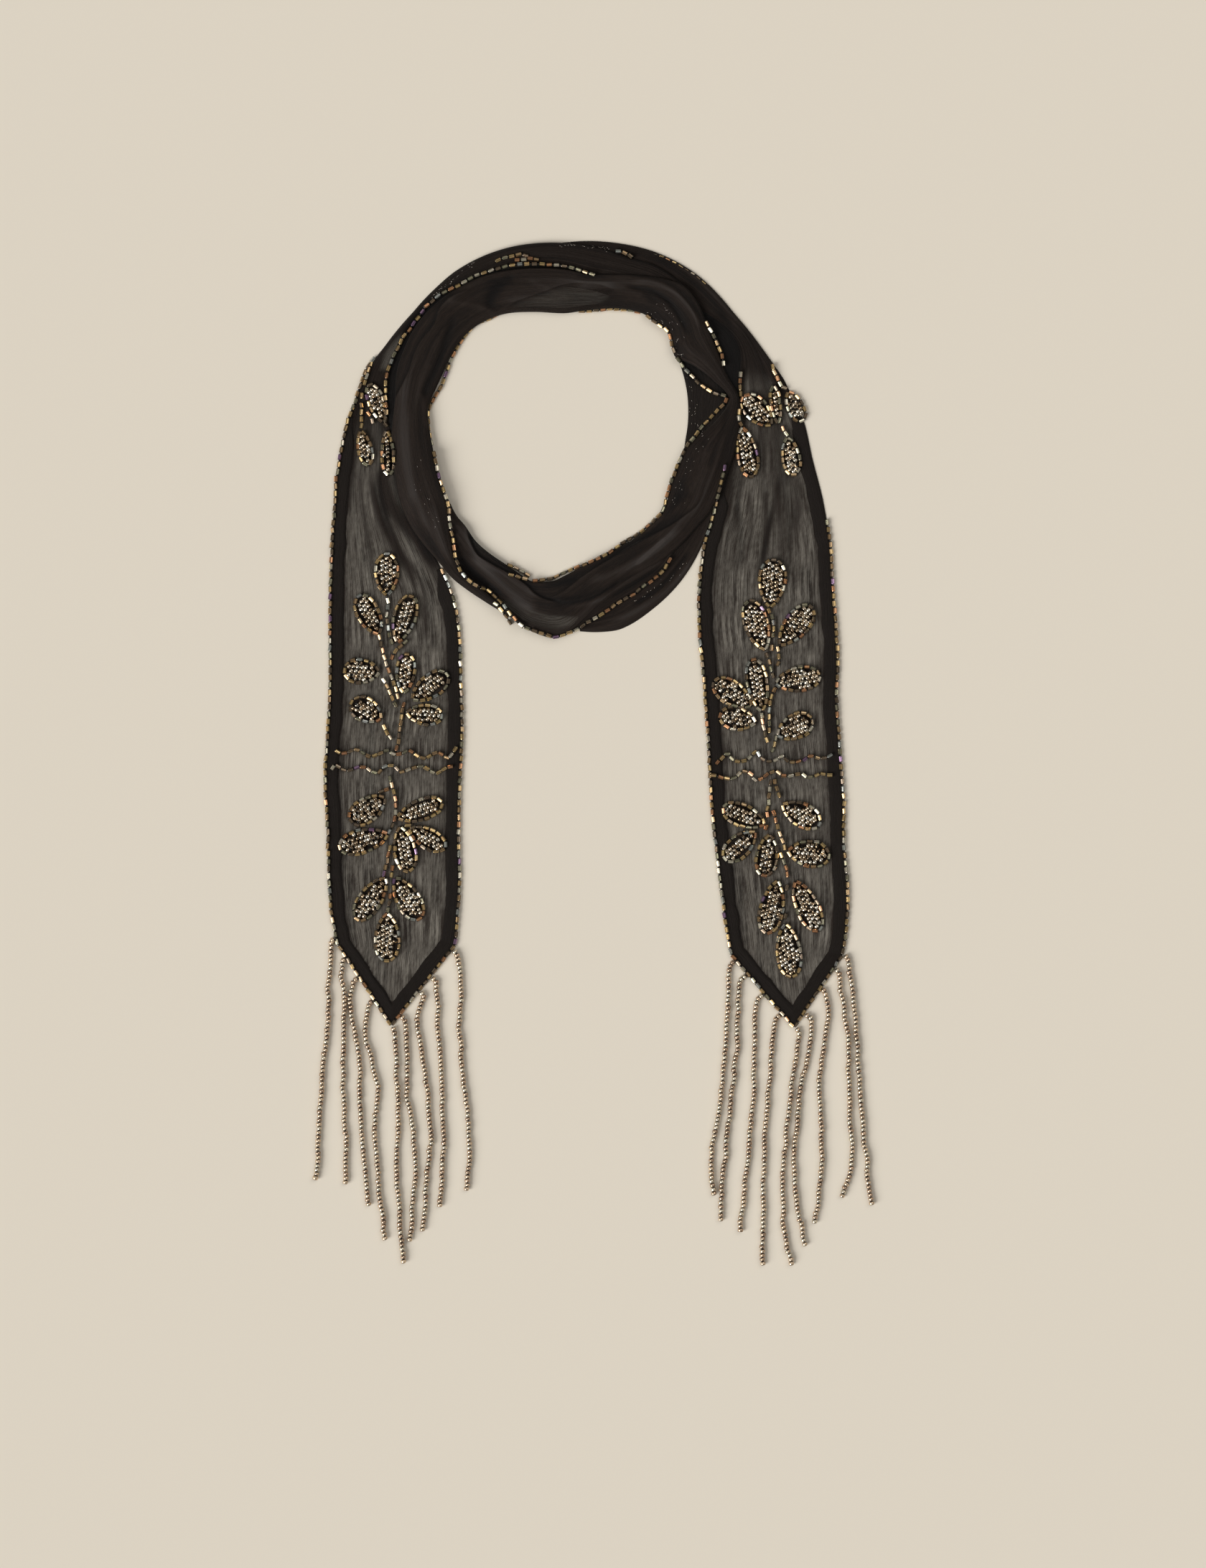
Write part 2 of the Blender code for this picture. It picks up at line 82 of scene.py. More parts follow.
TURN_COLUMNS = ("bearing", "r_in", "r_out", "z_in", "z_mid", "z_out")
OUTER_TURN_TOP_LEFT = [
    (281.0, 93.8, 113.6, 0.0, 0.2, 0.0), (287.0, 96.6, 113.0, 0.0, 0.6, 0.0),
    (293.0, 100.3, 110.6, 0.3, 1.0, 0.0), (298.5, 101.5, 108.3, 0.9, 1.3, 0.3),
    (310.0, 103.0, 106.3, 1.2, 1.5, 0.6), (316.0, 103.2, 106.6, 1.3, 1.5, 0.8),
    (322.0, 102.5, 107.3, 1.4, 1.6, 1.0), (329.0, 100.9, 108.5, 1.5, 1.7, 1.2),
    (344.0, 98.1, 109.2, 1.5, 1.7, 1.5), (361.0, 95.2, 108.6, 1.5, 1.7, 1.5),
    (372.7, 92.7, 108.2, 1.5, 1.7, 1.5), (382.6, 95.4, 108.3, 1.5, 1.7, 1.5),
    (390.2, 97.4, 110.6, 1.5, 1.7, 1.5), (399.9, 100.5, 110.5, 1.5, 1.7, 1.5),
    (405.0, 102.0, 108.6, 1.5, 1.7, 1.5), (409.0, 103.0, 107.5, 1.5, 1.7, 1.5),
]
OUTER_TURN_TOP_RIGHT = [
    (356.0, 103.5, 107.2, 0.0, 0.0, 0.0), (362.0, 103.0, 108.9, 0.0, 0.0, 0.0),
    (376.4, 103.2, 113.4, 0.0, 0.0, 0.0), (388.5, 103.6, 117.4, 0.0, 0.0, 0.0),
    (400.5, 103.5, 120.0, 0.0, 0.0, 0.0), (410.0, 105.0, 120.6, 0.0, 0.0, 0.0),
    (415.0, 109.0, 121.0, 0.0, 0.0, 0.0), (420.0, 112.6, 122.5, 0.0, 0.0, 0.0),
    (424.5, 112.4, 124.2, 0.0, 0.0, 0.0), (429.0, 108.6, 126.4, 0.0, 0.0, 0.0),
    (433.5, 103.0, 129.4, 0.0, 0.0, 0.0), (436.5, 99.9, 131.5, 0.0, 0.0, 0.0),
]
OUTER_TURN_BOTTOM_RIGHT = [
    (113.0, 88.0, 95.3, 0.0, 0.0, 0.0), (125.0, 87.0, 100.3, 0.0, 0.0, 0.0),
    (139.0, 86.3, 105.8, 0.0, 0.0, 0.0), (150.0, 86.0, 109.3, 0.0, 0.0, 0.0),
    (161.0, 88.5, 112.4, 0.0, 0.0, 0.0), (167.0, 92.0, 111.0, 0.0, 0.0, 0.0),
    (173.0, 98.0, 108.6, 0.0, 0.0, 0.0),
]
INNER_TURN_LEFT = [
    (190.0, 105.6, 108.1, 4.0, 4.1, 3.2), (193.4, 101.2, 103.9, 4.0, 4.1, 3.1),
    (197.0, 98.6, 101.9, 4.0, 4.2, 2.9), (204.0, 94.9, 99.5, 4.0, 4.3, 2.7),
    (210.0, 92.5, 98.3, 4.0, 4.4, 2.4), (216.7, 90.3, 97.3, 4.0, 4.4, 2.2),
    (221.0, 86.5, 95.9, 4.0, 4.5, 2.0), (226.2, 81.0, 94.9, 4.0, 4.7, 1.8),
    (232.0, 75.5, 94.8, 4.0, 4.7, 1.7), (239.4, 70.7, 94.8, 3.8, 4.6, 1.6),
    (246.0, 69.2, 94.2, 3.8, 4.6, 1.6), (256.7, 68.8, 92.5, 3.8, 4.6, 1.6),
    (265.7, 69.0, 92.1, 3.8, 4.6, 1.6), (275.0, 71.0, 91.8, 3.2, 4.4, 1.6),
    (282.5, 73.0, 92.2, 2.6, 4.0, 1.6), (293.2, 72.3, 96.4, 2.2, 3.8, 1.6),
    (300.5, 72.6, 98.2, 2.1, 3.8, 1.8), (308.3, 74.3, 99.9, 2.1, 3.7, 2.0),
    (315.8, 76.0, 100.4, 2.1, 3.6, 2.1), (324.8, 76.4, 100.0, 2.1, 3.6, 2.1),
]
INNER_TURN_RIGHT = [
    (325.2, 76.4, 100.0, 2.1, 3.6, 2.1), (336.0, 74.9, 98.8, 2.1, 3.4, 2.1),
    (350.0, 71.0, 95.8, 2.1, 3.4, 2.1), (363.0, 69.3, 93.8, 2.1, 3.4, 2.7),
    (372.7, 72.5, 93.0, 2.1, 3.5, 3.3), (386.0, 80.0, 100.5, 2.1, 3.8, 3.4),
    (394.5, 84.0, 107.0, 2.1, 4.0, 3.4), (400.4, 85.0, 110.3, 2.1, 4.0, 3.4),
    (407.3, 85.5, 108.3, 2.1, 4.0, 3.4), (411.0, 83.5, 106.1, 2.1, 4.0, 3.2),
    (415.6, 80.0, 104.0, 2.1, 4.0, 2.6), (422.0, 86.0, 102.0, 2.4, 3.6, 1.9),
    (430.0, 93.0, 101.5, 2.4, 3.0, 1.8), (437.4, 98.2, 104.2, 2.2, 2.6, 1.8),
    (444.0, 89.0, 103.0, 2.4, 3.4, 1.8), (450.0, 77.5, 101.0, 2.3, 3.8, 1.8),
    (454.0, 71.8, 99.9, 2.1, 4.0, 1.8), (460.0, 69.4, 98.0, 2.1, 4.0, 1.7),
    (468.0, 68.1, 96.4, 2.1, 3.8, 1.6), (476.0, 69.8, 95.2, 2.1, 3.8, 1.6),
    (482.4, 71.6, 93.0, 2.1, 3.8, 1.6), (492.0, 71.6, 91.5, 2.1, 3.6, 1.6),
    (502.0, 71.0, 90.0, 2.1, 3.6, 1.6), (509.0, 70.2, 88.8, 2.1, 3.6, 1.6),
    (518.4, 69.7, 91.3, 2.1, 3.6, 1.6), (525.0, 71.5, 95.5, 2.1, 3.6, 1.6),
    (532.0, 74.5, 103.4, 2.1, 3.4, 1.6), (537.0, 77.2, 109.9, 2.1, 3.2, 1.6),
    (540.8, 79.5, 111.6, 2.1, 3.0, 1.5), (544.5, 80.4, 110.3, 2.1, 2.8, 1.5),
    (547.0, 80.8, 108.9, 2.1, 2.6, 1.5),
]
UNDER_TURN_BOTTOM_LEFT = [
    (547.3, 80.9, 108.7, 2.1, 2.6, 1.5), (550.0, 81.0, 106.6, 2.1, 2.4, 1.2),
    (555.0, 78.5, 102.6, 2.1, 2.4, 0.6), (562.4, 75.7, 97.4, 2.1, 2.4, 0.4),
    (570.0, 74.3, 94.5, 2.1, 2.4, 0.4), (577.7, 73.0, 92.0, 2.1, 2.4, 0.4),
    (585.7, 70.6, 90.0, 2.1, 2.4, 0.4), (592.0, 70.4, 88.5, 2.1, 2.4, 0.4),
    (600.5, 69.2, 87.0, 2.1, 2.4, 0.4), (612.0, 70.2, 86.0, 2.1, 2.4, 0.4),
    (624.0, 71.0, 85.0, 2.1, 2.4, 0.4),
]
# The strip of the lower turn between a fold and its beaded edge.
BEADED_STRIP = [
    (493.0, 88.0, 91.0, 0.1, 0.2, 0.1), (496.0, 87.6, 92.2, 0.2, 0.3, 0.2),
    (501.0, 86.8, 95.0, 0.3, 0.5, 0.3), (511.0, 86.0, 96.6, 0.4, 0.7, 0.3),
    (520.3, 86.4, 98.8, 0.5, 0.8, 0.3), (527.6, 91.5, 102.9, 0.5, 0.8, 0.3),
    (531.0, 98.0, 105.2, 0.4, 0.6, 0.3), (533.5, 103.2, 106.9, 0.3, 0.4, 0.3), (535.0, 106.6, 107.9, 0.2, 0.3, 0.2),
]
CORE_COLUMNS = ("bearing", "r_in", "r_out")
RING_CORE = [
    (0.0, 84.0, 96.0), (15.0, 84.5, 96.0), (30.0, 85.0, 99.0), (45.0, 87.0, 106.0),
    (52.0, 83.0, 111.0), (58.0, 80.6, 114.6), (64.0, 78.9, 114.2), (70.0, 77.3, 110.4), (77.0, 75.4, 104.0),
    (84.0, 73.6, 99.0), (91.0, 71.9, 95.0),
    (100.0, 70.9, 91.0), (110.0, 70.0, 87.0), (122.0, 73.0, 84.0), (136.0, 73.0, 83.5),
    (158.0, 72.4, 83.0), (172.0, 77.0, 86.0), (186.0, 82.0, 88.0), (195.0, 80.6, 88.0),
    (205.0, 78.2, 87.0), (218.0, 76.0, 84.5), (228.0, 74.4, 82.0), (240.0, 73.0, 80.0),
    (264.0, 73.6, 86.0), (275.0, 75.0, 94.0), (285.0, 76.6, 98.5), (296.0, 76.0, 102.0), (315.0, 79.6, 104.0),
    (326.0, 82.0, 103.0), (336.0, 84.0, 101.0), (350.0, 84.0, 98.0), (360.0, 84.0, 96.0),
]

STRAND_COLUMNS = ("x_top", "y_top", "x_end", "y_end", "sway_1", "sway_2", "sway_3", "sway_4")
SWAY_AT = (0.1, 0.35, 0.6, 0.85)
STRANDS = {
    "left": [
        (-146.4, -103.7, -155.3, -237.1, 0.2, 0.6, -0.4, 0.4),
        (-140.0, -114.7, -138.2, -239.6, -0.4, 0.4, -0.5, 0.3),
        (-133.9, -126.3, -125.3, -251.8, -3.0, -0.3, -1.0, -0.7),
        (-125.3, -139.2, -116.8, -270.8, -2.9, 1.5, -1.6, -0.6),
        (-111.2, -154.2, -106.4, -283.7, 0.8, 0.7, -1.2, -0.5),
        (-105.1, -148.2, -102.7, -271.4, 0.2, 0.7, 4.2, 2.3),
        (-94.1, -134.8, -95.3, -265.9, -4.6, 1.0, 3.4, 1.8),
        (-88.0, -126.3, -85.5, -252.4, 0.4, 1.5, 2.6, 1.1),
        (-76.2, -111.4, -71.5, -243.3, 1.6, -0.2, 1.5, 3.2),
    ],
    "right": [
        (75.6, -117.8, 66.8, -245.9, 0.1, 0.3, -0.3, -3.0),
        (81.2, -126.4, 71.0, -260.3, 0.3, 1.0, 0.1, -1.1),
        (90.8, -136.8, 81.2, -266.3, -0.7, 2.0, 1.7, 0.6),
        (101.0, -147.6, 93.8, -284.9, -0.6, -1.9, -2.0, -1.1),
        (114.8, -155.2, 110.0, -284.9, -1.4, -4.7, -6.6, -4.7),
        (121.3, -147.6, 117.1, -274.1, -1.2, -4.9, -7.4, -3.9),
        (128.5, -132.0, 122.5, -261.5, 2.6, -0.5, 1.7, 2.2),
        (136.3, -121.2, 138.1, -247.1, 1.7, 5.3, 4.6, 5.9),
        (141.4, -113.4, 154.9, -251.3, 0.6, 0.1, -0.8, -0.7),
    ],
}

# ------------------------------------------------------------------- charts
# A leaf: its foot, its tip and its width, in chart steps.
LEAVES = {
    "left": [
        ((539, 829), (539, 769), 36), ((528, 883), (499, 828), 35), ((553, 894), (574, 828), 35),
        ((528, 936), (478, 934), 38), ((575, 974), (625, 938), 36), ((563, 965), (567, 909), 30),
        ((531, 1001), (488, 977), 37), ((567, 993), (618, 998), 32),
        ((536, 1111), (487, 1145), 38), ((555, 1139), (618, 1117), 33), ((540, 1162), (471, 1181), 37),
        ((571, 1154), (622, 1182), 32), ((558, 1152), (570, 1216), 34), ((537, 1223), (496, 1282), 36),
        ((551, 1223), (586, 1282), 37), ((540, 1272), (539, 1341), 38),
        ((503, 601), (514, 650), 24), ((539, 601), (542, 664), 22), ((534, 588), (515, 534), 26),
    ],
    "right": [
        ((1073, 845), (1078, 777), 41), ((1087, 898), (1131, 843), 38), ((1066, 905), (1042, 835), 37),
        ((1081, 951), (1144, 941), 38), ((1046, 983), (993, 948), 37), ((1061, 990), (1049, 916), 33),
        ((1083, 1024), (1133, 1000), 38), ((1052, 1006), (1001, 996), 36),
        ((1090, 1121), (1144, 1149), 36), ((1065, 1148), (1005, 1124), 35), ((1098, 1185), (1157, 1193), 40),
        ((1072, 1163), (1064, 1222), 34), ((1052, 1159), (1008, 1198), 35), ((1108, 1228), (1141, 1298), 36),
        ((1083, 1227), (1067, 1302), 37), ((1094, 1287), (1103, 1363), 38),
        ((1074, 592), (1034, 551), 36), ((1084, 590), (1077, 536), 18), ((1098, 546), (1118, 589), 27),
        ((1034, 596), (1047, 667), 32), ((1097, 610), (1106, 664), 29),
    ],
}
# Lines of tubes: stems and the two wavy lines on each tail.
STEMS = {
    "left": [
        [(551.5, 1046), (555, 1035), (557, 1016), (559, 1000), (561, 985), (564, 977)],
        [(553, 985), (547, 973), (542, 961), (537, 952), (532, 942), (528, 936)],
        [(556, 974), (550, 955), (545, 942), (540, 930), (535, 914), (532, 902), (530, 891), (528, 883)],
        [(539, 832), (541, 838), (540, 847), (539, 859), (542, 879), (544, 891), (547, 898)],
        [(569, 891), (561, 898), (553, 904), (547, 914), (545, 920)],
        [(531, 1001), (535, 1012), (540, 1022), (547, 1030)],
        [(561, 985), (567, 988), (575, 986), (585, 982)],
        [(567, 970), (574, 962), (582, 948), (590, 936)],
        [(542.5, 1080), (548, 1101), (551, 1119), (551, 1134), (547, 1149), (540, 1162)],
        [(573, 1149), (564, 1150), (556, 1151), (550, 1158), (546, 1170), (542, 1188), (538, 1205), (534, 1221)],
        [(551, 1185), (549, 1196), (547, 1205), (546, 1216), (544, 1233), (544, 1250), (542, 1262), (540, 1272)],
        [(542, 1098), (539, 1100), (534, 1101), (527, 1104)],
        [(503, 560), (504, 572), (504, 584), (503, 598)],
        [(511, 572), (517, 582), (520, 592)],
        [(535, 588), (540, 596), (543, 603)],
        [(518, 503), (515, 514), (511, 526), (507, 540), (504, 555)],
    ],
    "right": [
        [(1069.8, 1034.5), (1066, 1024), (1064, 1014), (1062, 1003), (1060.5, 992)],
        [(1072, 1022), (1071, 1001), (1072, 983), (1076, 966), (1080, 957), (1083, 948)],
        [(1078, 946), (1075.5, 937), (1073, 928), (1071, 920), (1066, 909), (1058, 901)],
        [(1065, 839), (1074, 855), (1077, 866), (1078, 873), (1076, 892), (1074, 907)],
        [(1082, 889), (1082, 898), (1085, 910), (1085, 920), (1082, 929)],
        [(1082, 1024), (1080.5, 1033), (1078, 1041), (1074, 1049)],
        [(1074, 1085.5), (1072.6, 1098), (1071, 1110), (1071, 1120), (1067.5, 1127.6), (1069, 1136.5), (1068, 1148), (1066, 1157)],
        [(1076.4, 1127.6), (1079, 1136.8), (1081, 1145), (1085, 1157), (1088, 1166), (1092, 1176), (1094, 1185)],
        [(1075, 1162), (1080, 1172), (1084, 1181), (1093, 1203), (1096, 1212), (1096.5, 1222)],
        [(1097, 1231), (1093, 1254), (1094.5, 1272), (1093, 1282), (1092, 1291)],
        [(1079, 1084), (1080, 1091), (1087, 1111), (1090.5, 1121)],
        [(1032, 518), (1031, 530), (1031, 542), (1032, 553)],
        [(1075, 507), (1079, 520), (1084, 530), (1089, 539), (1097, 543)],
        [(1088, 577), (1088, 588), (1092, 600), (1098, 607)],
        [(1030, 562), (1029, 575), (1029, 586), (1034, 594)],
    ],
}
WAVES = {
    "left": [
        [(467, 1044), (475, 1049), (484, 1048), (497, 1044), (507, 1050), (515, 1054), (528, 1050), (538, 1045),
         (551, 1051), (563, 1048), (570, 1045), (582, 1053), (591, 1056), (599, 1053), (609, 1048), (617, 1052),
         (625, 1056), (631, 1048), (637, 1040)],
        [(461, 1073), (468, 1066), (477, 1071), (487, 1073), (496, 1069), (508, 1068), (518, 1075), (527, 1077),
         (533, 1070), (542, 1066), (551, 1069), (559, 1076), (569, 1072), (577, 1069), (585, 1067), (596, 1071),
         (602, 1075), (609, 1077), (619, 1071), (632, 1067)],
    ],
    "right": [
        [(996, 1065.5), (1005.5, 1056), (1013.5, 1049.5), (1020, 1057.5), (1033, 1061), (1042, 1057.5), (1048, 1050.5),
         (1054, 1046), (1059.5, 1055), (1071, 1060.5), (1082, 1057.5), (1089, 1053), (1098.5, 1061), (1109, 1061.5),
         (1119, 1058.5), (1125, 1054), (1130.6, 1053), (1140, 1056), (1149, 1056), (1160.5, 1050.5)],
        [(989.5, 1079.7), (998.5, 1081), (1014.6, 1085), (1025, 1082.7), (1030.7, 1076), (1037.6, 1074), (1047, 1079),
         (1052.5, 1087), (1062, 1084), (1071, 1077), (1082, 1074.6), (1089, 1080.4), (1109, 1079), (1117, 1078),
         (1126, 1082.7), (1135, 1081), (1143, 1077.5), (1151, 1079), (1160.5, 1080)],
    ],
}
# Edges of the ring that show their tubes, and how far the line is sunk;
# "under" is a line half hidden beneath the edge, "small" what peeps out of one.
RING_EDGES = [
    ("top_edge", 0.0, [(536, 590), (539, 574), (538, 558), (537, 542), (540, 518), (545, 506), (549, 495), (555, 485), (560, 474),
        (568, 463), (581, 445), (596, 426), (616, 410), (639, 398), (660, 386), (682, 379), (709, 371), (745, 369),
        (780, 371), (804, 376), (830, 385)]),
    ("right_fold_edge", 0.0, [(982, 447), (988, 458), (993, 467), (998, 478), (1004, 491), (1007, 502), (1008, 512)]),
    ("v_edge", 0.0, [(941, 497), (949, 507), (956, 516), (965, 525), (973, 534), (984, 542), (997, 549), (1010, 551),
        (1012, 558), (1005, 566), (994, 577), (986, 586), (977, 596), (969, 607), (960, 617), (955, 625)]),
    ("hole_top_right_under", "under", [(806, 434), (823, 433), (847, 431), (874, 432), (893, 435)]),
    ("hole_top_right", -0.6, [(899, 439), (914, 451), (927, 459), (934, 470), (936, 483), (940, 494)]),
    ("hole_top_left", "under", [(694, 438), (677, 446), (660, 454), (646, 470), (630, 497), (617, 532), (603, 558),
        (597, 572), (598, 601), (602, 622)]),
    ("left_edge", 0.0, [(604, 628), (607, 640), (612, 663), (619, 685), (625, 704), (626, 718), (628, 732), (630, 743),
        (632, 755), (633, 766), (636, 780), (640, 792), (647, 802), (656, 811), (667, 818), (680, 823), (692, 834),
        (703, 845), (712, 856), (720, 866)]),
    ("bottom_edge_beneath", -0.7, [(687, 838), (697, 848), (706, 860), (714, 871)]),
    ("bottom_edge", 0.0, [(722, 868), (729, 873), (737, 876), (754, 882), (771, 888), (779, 887), (790, 882), (804, 877), (818, 867),
        (830, 861), (838, 856), (847, 850), (858, 842), (869, 835), (883, 828), (891, 821), (904, 812), (914, 804),
        (924, 795), (929, 787), (935, 776)]),
    ("hole_bottom_right", -0.6, [(954, 627), (946, 643), (941, 655), (934, 674), (928, 694), (924, 709), (914, 722),
        (900, 736), (883, 748), (866, 758), (847, 771), (824, 783), (802, 791), (788, 797), (774, 804), (762, 807),
        (748, 809), (740, 809)]),
    ("hole_bottom_left", -0.6, [(706, 786), (717, 791), (729, 797), (739, 803)]),
    ("under_edge", -0.6, [(708, 800), (717, 802), (729, 806), (736, 808)]),
    ("top_right_edge", 0.0, [(856, 351), (863, 351), (870, 353), (877, 357), (882, 361)]),
    ("left_upper_edge", -0.5, [(494, 564), (497, 552), (501, 541), (507, 523), (514, 509), (523, 497)]),
    ("right_far_edge", "small", [(907, 353), (925, 359), (946, 370), (968, 384), (984, 397)]),
    ("top_pocket", -0.7, [(690, 366), (697, 362), (704, 360), (713, 358), (724, 355), (737, 357)]),
    ("top_pocket_low", -0.7, [(716, 363), (727, 363), (739, 361), (752, 363)]),
]


# ------------------------------------------------------------ small helpers
def place(u, v):
    """A chart place in millimetres."""
    return (u - 827.5) * STEP + 0.204, (1050.0 - v) * STEP - 0.164


def polar(bearing, radius):
    a = np.radians(bearing)
    return RING_X + SHIFT_X + radius * np.sin(a), RING_Y + SHIFT_Y + radius * np.cos(a)


def column(rows, columns, key, name, at):
    """One column of a table at many places, on a smooth curve through rows."""
    t = np.array([row[columns.index(key)] for row in rows], float)
    y = np.array([row[columns.index(name)] for row in rows], float)
    if t[0] > t[-1]:
        t, y = t[::-1], y[::-1]
    m = np.empty_like(y)
    m[1:-1] = (y[2:] - y[:-2]) / (t[2:] - t[:-2])
    m[0], m[-1] = (y[1] - y[0]) / (t[1] - t[0]), (y[-1] - y[-2]) / (t[-1] - t[-2])
    at = np.asarray(at, float)
    i = np.clip(np.searchsorted(t, at, side="right") - 1, 0, len(t) - 2)
    span = t[i + 1] - t[i]
    s = np.clip((at - t[i]) / span, 0, 1)
    return ((2 * s ** 3 - 3 * s ** 2 + 1) * y[i] + (s ** 3 - 2 * s ** 2 + s) * m[i] * span
            + (3 * s ** 2 - 2 * s ** 3) * y[i + 1] + (s ** 3 - s ** 2) * m[i + 1] * span)


def smooth_path(points, spacing=0.5):
    """Points in millimetres along a smooth curve, evenly spaced."""
    p = np.asarray(points, float)
    d = np.concatenate([[0], np.cumsum(np.hypot(*np.diff(p, axis=0).T))])
    rows = [(t, x, y) for t, (x, y) in zip(d, p)]
    fine = np.linspace(0, d[-1], max(8, int(d[-1] / 0.25)))
    x = column(rows, ("t", "x", "y"), "t", "x", fine)
    y = column(rows, ("t", "x", "y"), "t", "y", fine)
    run = np.concatenate([[0], np.cumsum(np.hypot(np.diff(x), np.diff(y)))])
    even = np.linspace(0, run[-1], max(3, int(run[-1] / spacing) + 1))
    return np.stack([np.interp(even, run, x), np.interp(even, run, y)], 1)


def chart_path(points, spacing=0.5):
    return smooth_path([place(u, v) for u, v in points], spacing)


def hashed(i, j, seed):
    h = np.sin(i * 127.1 + j * 311.7 + seed * 74.7) * 43758.5453
    return h - np.floor(h)


def noise(x, y, seed):
    """Smooth noise from -1 to 1."""
    x, y = np.asarray(x, float), np.asarray(y, float)
    i, j = np.floor(x), np.floor(y)
    f, g = x - i, y - j
    f, g = f * f * (3 - 2 * f), g * g * (3 - 2 * g)
    a = hashed(i, j, seed) * (1 - f) + hashed(i + 1, j, seed) * f
    b = hashed(i, j + 1, seed) * (1 - f) + hashed(i + 1, j + 1, seed) * f
    return (a * (1 - g) + b * g) * 2 - 1


def ease(a, b, x):
    t = np.clip((np.asarray(x, float) - a) / (b - a), 0, 1)
    return t * t * (3 - 2 * t)


def beside(points, path):
    """For each point its distance from a path, the side of the path it is on
    (+1 left, -1 right of its direction) and how far along the path it is, 0 to 1."""
    p = np.asarray(points, float)[:, :2]
    a, b = path[:-1], path[1:]
    ab = b - a
    length = np.maximum(1e-9, (ab ** 2).sum(1))
    best = np.full(len(p), 1e9)
    side = np.ones(len(p))
    along = np.zeros(len(p))
    for k in range(len(a)):
        ap = p - a[k]
        t = np.clip((ap @ ab[k]) / length[k], 0, 1)
        off = ap - t[:, None] * ab[k]
        d = np.hypot(off[:, 0], off[:, 1])
        near = d < best
        best[near] = d[near]
        side[near] = np.sign(ab[k][0] * ap[near, 1] - ab[k][1] * ap[near, 0])
        along[near] = (k + t[near]) / len(a)
    return best, side, along


# -------------------------------------------------------------------- cloth
def grid_mesh(name, points, density, across, along, closed=False, shade=0.5):
    """A sheet from a grid of points in millimetres, rows x columns x 3, with
    how dense it is, where each point is on the flat cloth, and its painted
    shading: 0 painted shade, 0.5 none, 1 a painted highlight."""
    rows, cols = points.shape[:2]
    index = np.arange(rows * cols).reshape(rows, cols)
    wide = cols if closed else cols - 1
    nxt = np.roll(index, -1, axis=1)[:, :wide]
    here = index[:, :wide]
    quads = np.stack([here[:-1], nxt[:-1], nxt[1:], here[1:]], -1).reshape(-1, 4)
    mesh = bpy.data.meshes.new(name)
    mesh.vertices.add(rows * cols)
    mesh.vertices.foreach_set("co", (points.reshape(-1, 3) * MM).astype(np.float32).ravel())
    mesh.loops.add(len(quads) * 4)
    mesh.loops.foreach_set("vertex_index", quads.astype(np.int32).ravel())
    mesh.polygons.add(len(quads))
    mesh.polygons.foreach_set("loop_start", np.arange(0, len(quads) * 4, 4, dtype=np.int32))
    mesh.update(calc_edges=True)
    mesh.shade_smooth()
    a = mesh.attributes.new("folded", "FLOAT", "POINT")
    a.data.foreach_set("value", np.asarray(density, np.float32).ravel())
    b = mesh.attributes.new("lay", "FLOAT_VECTOR", "POINT")
    across = across + 0.8 * noise(across / 9.0, along / 26.0, 91) + 0.20 * noise(across / 2.5, along / 8.0, 92)
    lay = np.stack([across, along + 0 * across, np.zeros_like(across)], -1)
    b.data.foreach_set("vector", lay.astype(np.float32).ravel())
    # painted shading per point: below 0.5 painted shade, above 0.5 painted highlight
    c = mesh.attributes.new("painted_shading", "FLOAT", "POINT")
    c.data.foreach_set("value", np.clip(np.broadcast_to(shade, points.shape[:2]), 0, 1).astype(np.float32).ravel())
    obj = bpy.data.objects.new(name, mesh)
    bpy.context.scene.collection.objects.link(obj)
    return obj


def strip_rails(tail, point, turn, flip):
    """The two edges of a tail and of the turn it runs on into, from the V
    point up, each with the height of the turn's underside at three places."""
    left, right, flat, z = [], [], [], []
    foot = tail[-1]
    for t in np.linspace(0.0, 1.0, 24)[:-1]:
        t = 0.015 + 0.985 * t
        left.append((point[0] + (foot[1] - point[0]) * t, point[1] + (foot[0] - point[1]) * t))
        right.append((point[0] + (foot[2] - point[0]) * t, point[1] + (foot[0] - point[1]) * t))
        flat.append(t)
        z.append((0.0, 0.0, 0.0))
    ys = np.linspace(tail[-1][0], tail[0][0], int((tail[0][0] - tail[-1][0]) / 1.9))
    xl = column(tail, TAIL_COLUMNS, "y", "x_left", ys)
    xr = column(tail, TAIL_COLUMNS, "y", "x_right", ys)
    tilt = column(tail, TAIL_COLUMNS, "y", "tilt", ys)
    for y, a, b, t in zip(ys, xl, xr, tilt):
        left.append((a, y - t))
        right.append((b, y + t))
        flat.append(1.0)
        z.append((0.0, 0.0, 0.0))
    first, last = (turn[0][0], turn[-1][0]) if not flip else (turn[-1][0], turn[0][0])
    for bearing in np.linspace(first, last, int(abs(last - first) / 0.9))[1:]:
        row = [float(column(turn, TURN_COLUMNS, "bearing", n, bearing)) for n in TURN_COLUMNS[1:]]
        inner = polar(bearing, row[0])
        outer = polar(bearing, row[1])
        inner = (inner[0] - SHIFT_X, inner[1] - SHIFT_Y)
        outer = (outer[0] - SHIFT_X, outer[1] - SHIFT_Y)
        if not flip:
            left.append(outer), right.append(inner)
            z.append((row[4], row[3], row[2]))
        else:
            left.append(inner), right.append(outer)
            z.append((row[2], row[3], row[4]))
        flat.append(1.0)
    shift = np.array([SHIFT_X, SHIFT_Y])
    return np.array(left) + shift, np.array(right) + shift, np.array(flat), np.array(z)


def arch(z, u):
    """Height of an underside across a stretch from its three heights."""
    return z[:, 0:1] * 2 * (u - 0.5) * (u - 1) - z[:, 1:2] * 4 * u * (u - 1) + z[:, 2:3] * 2 * u * (u - 0.5)


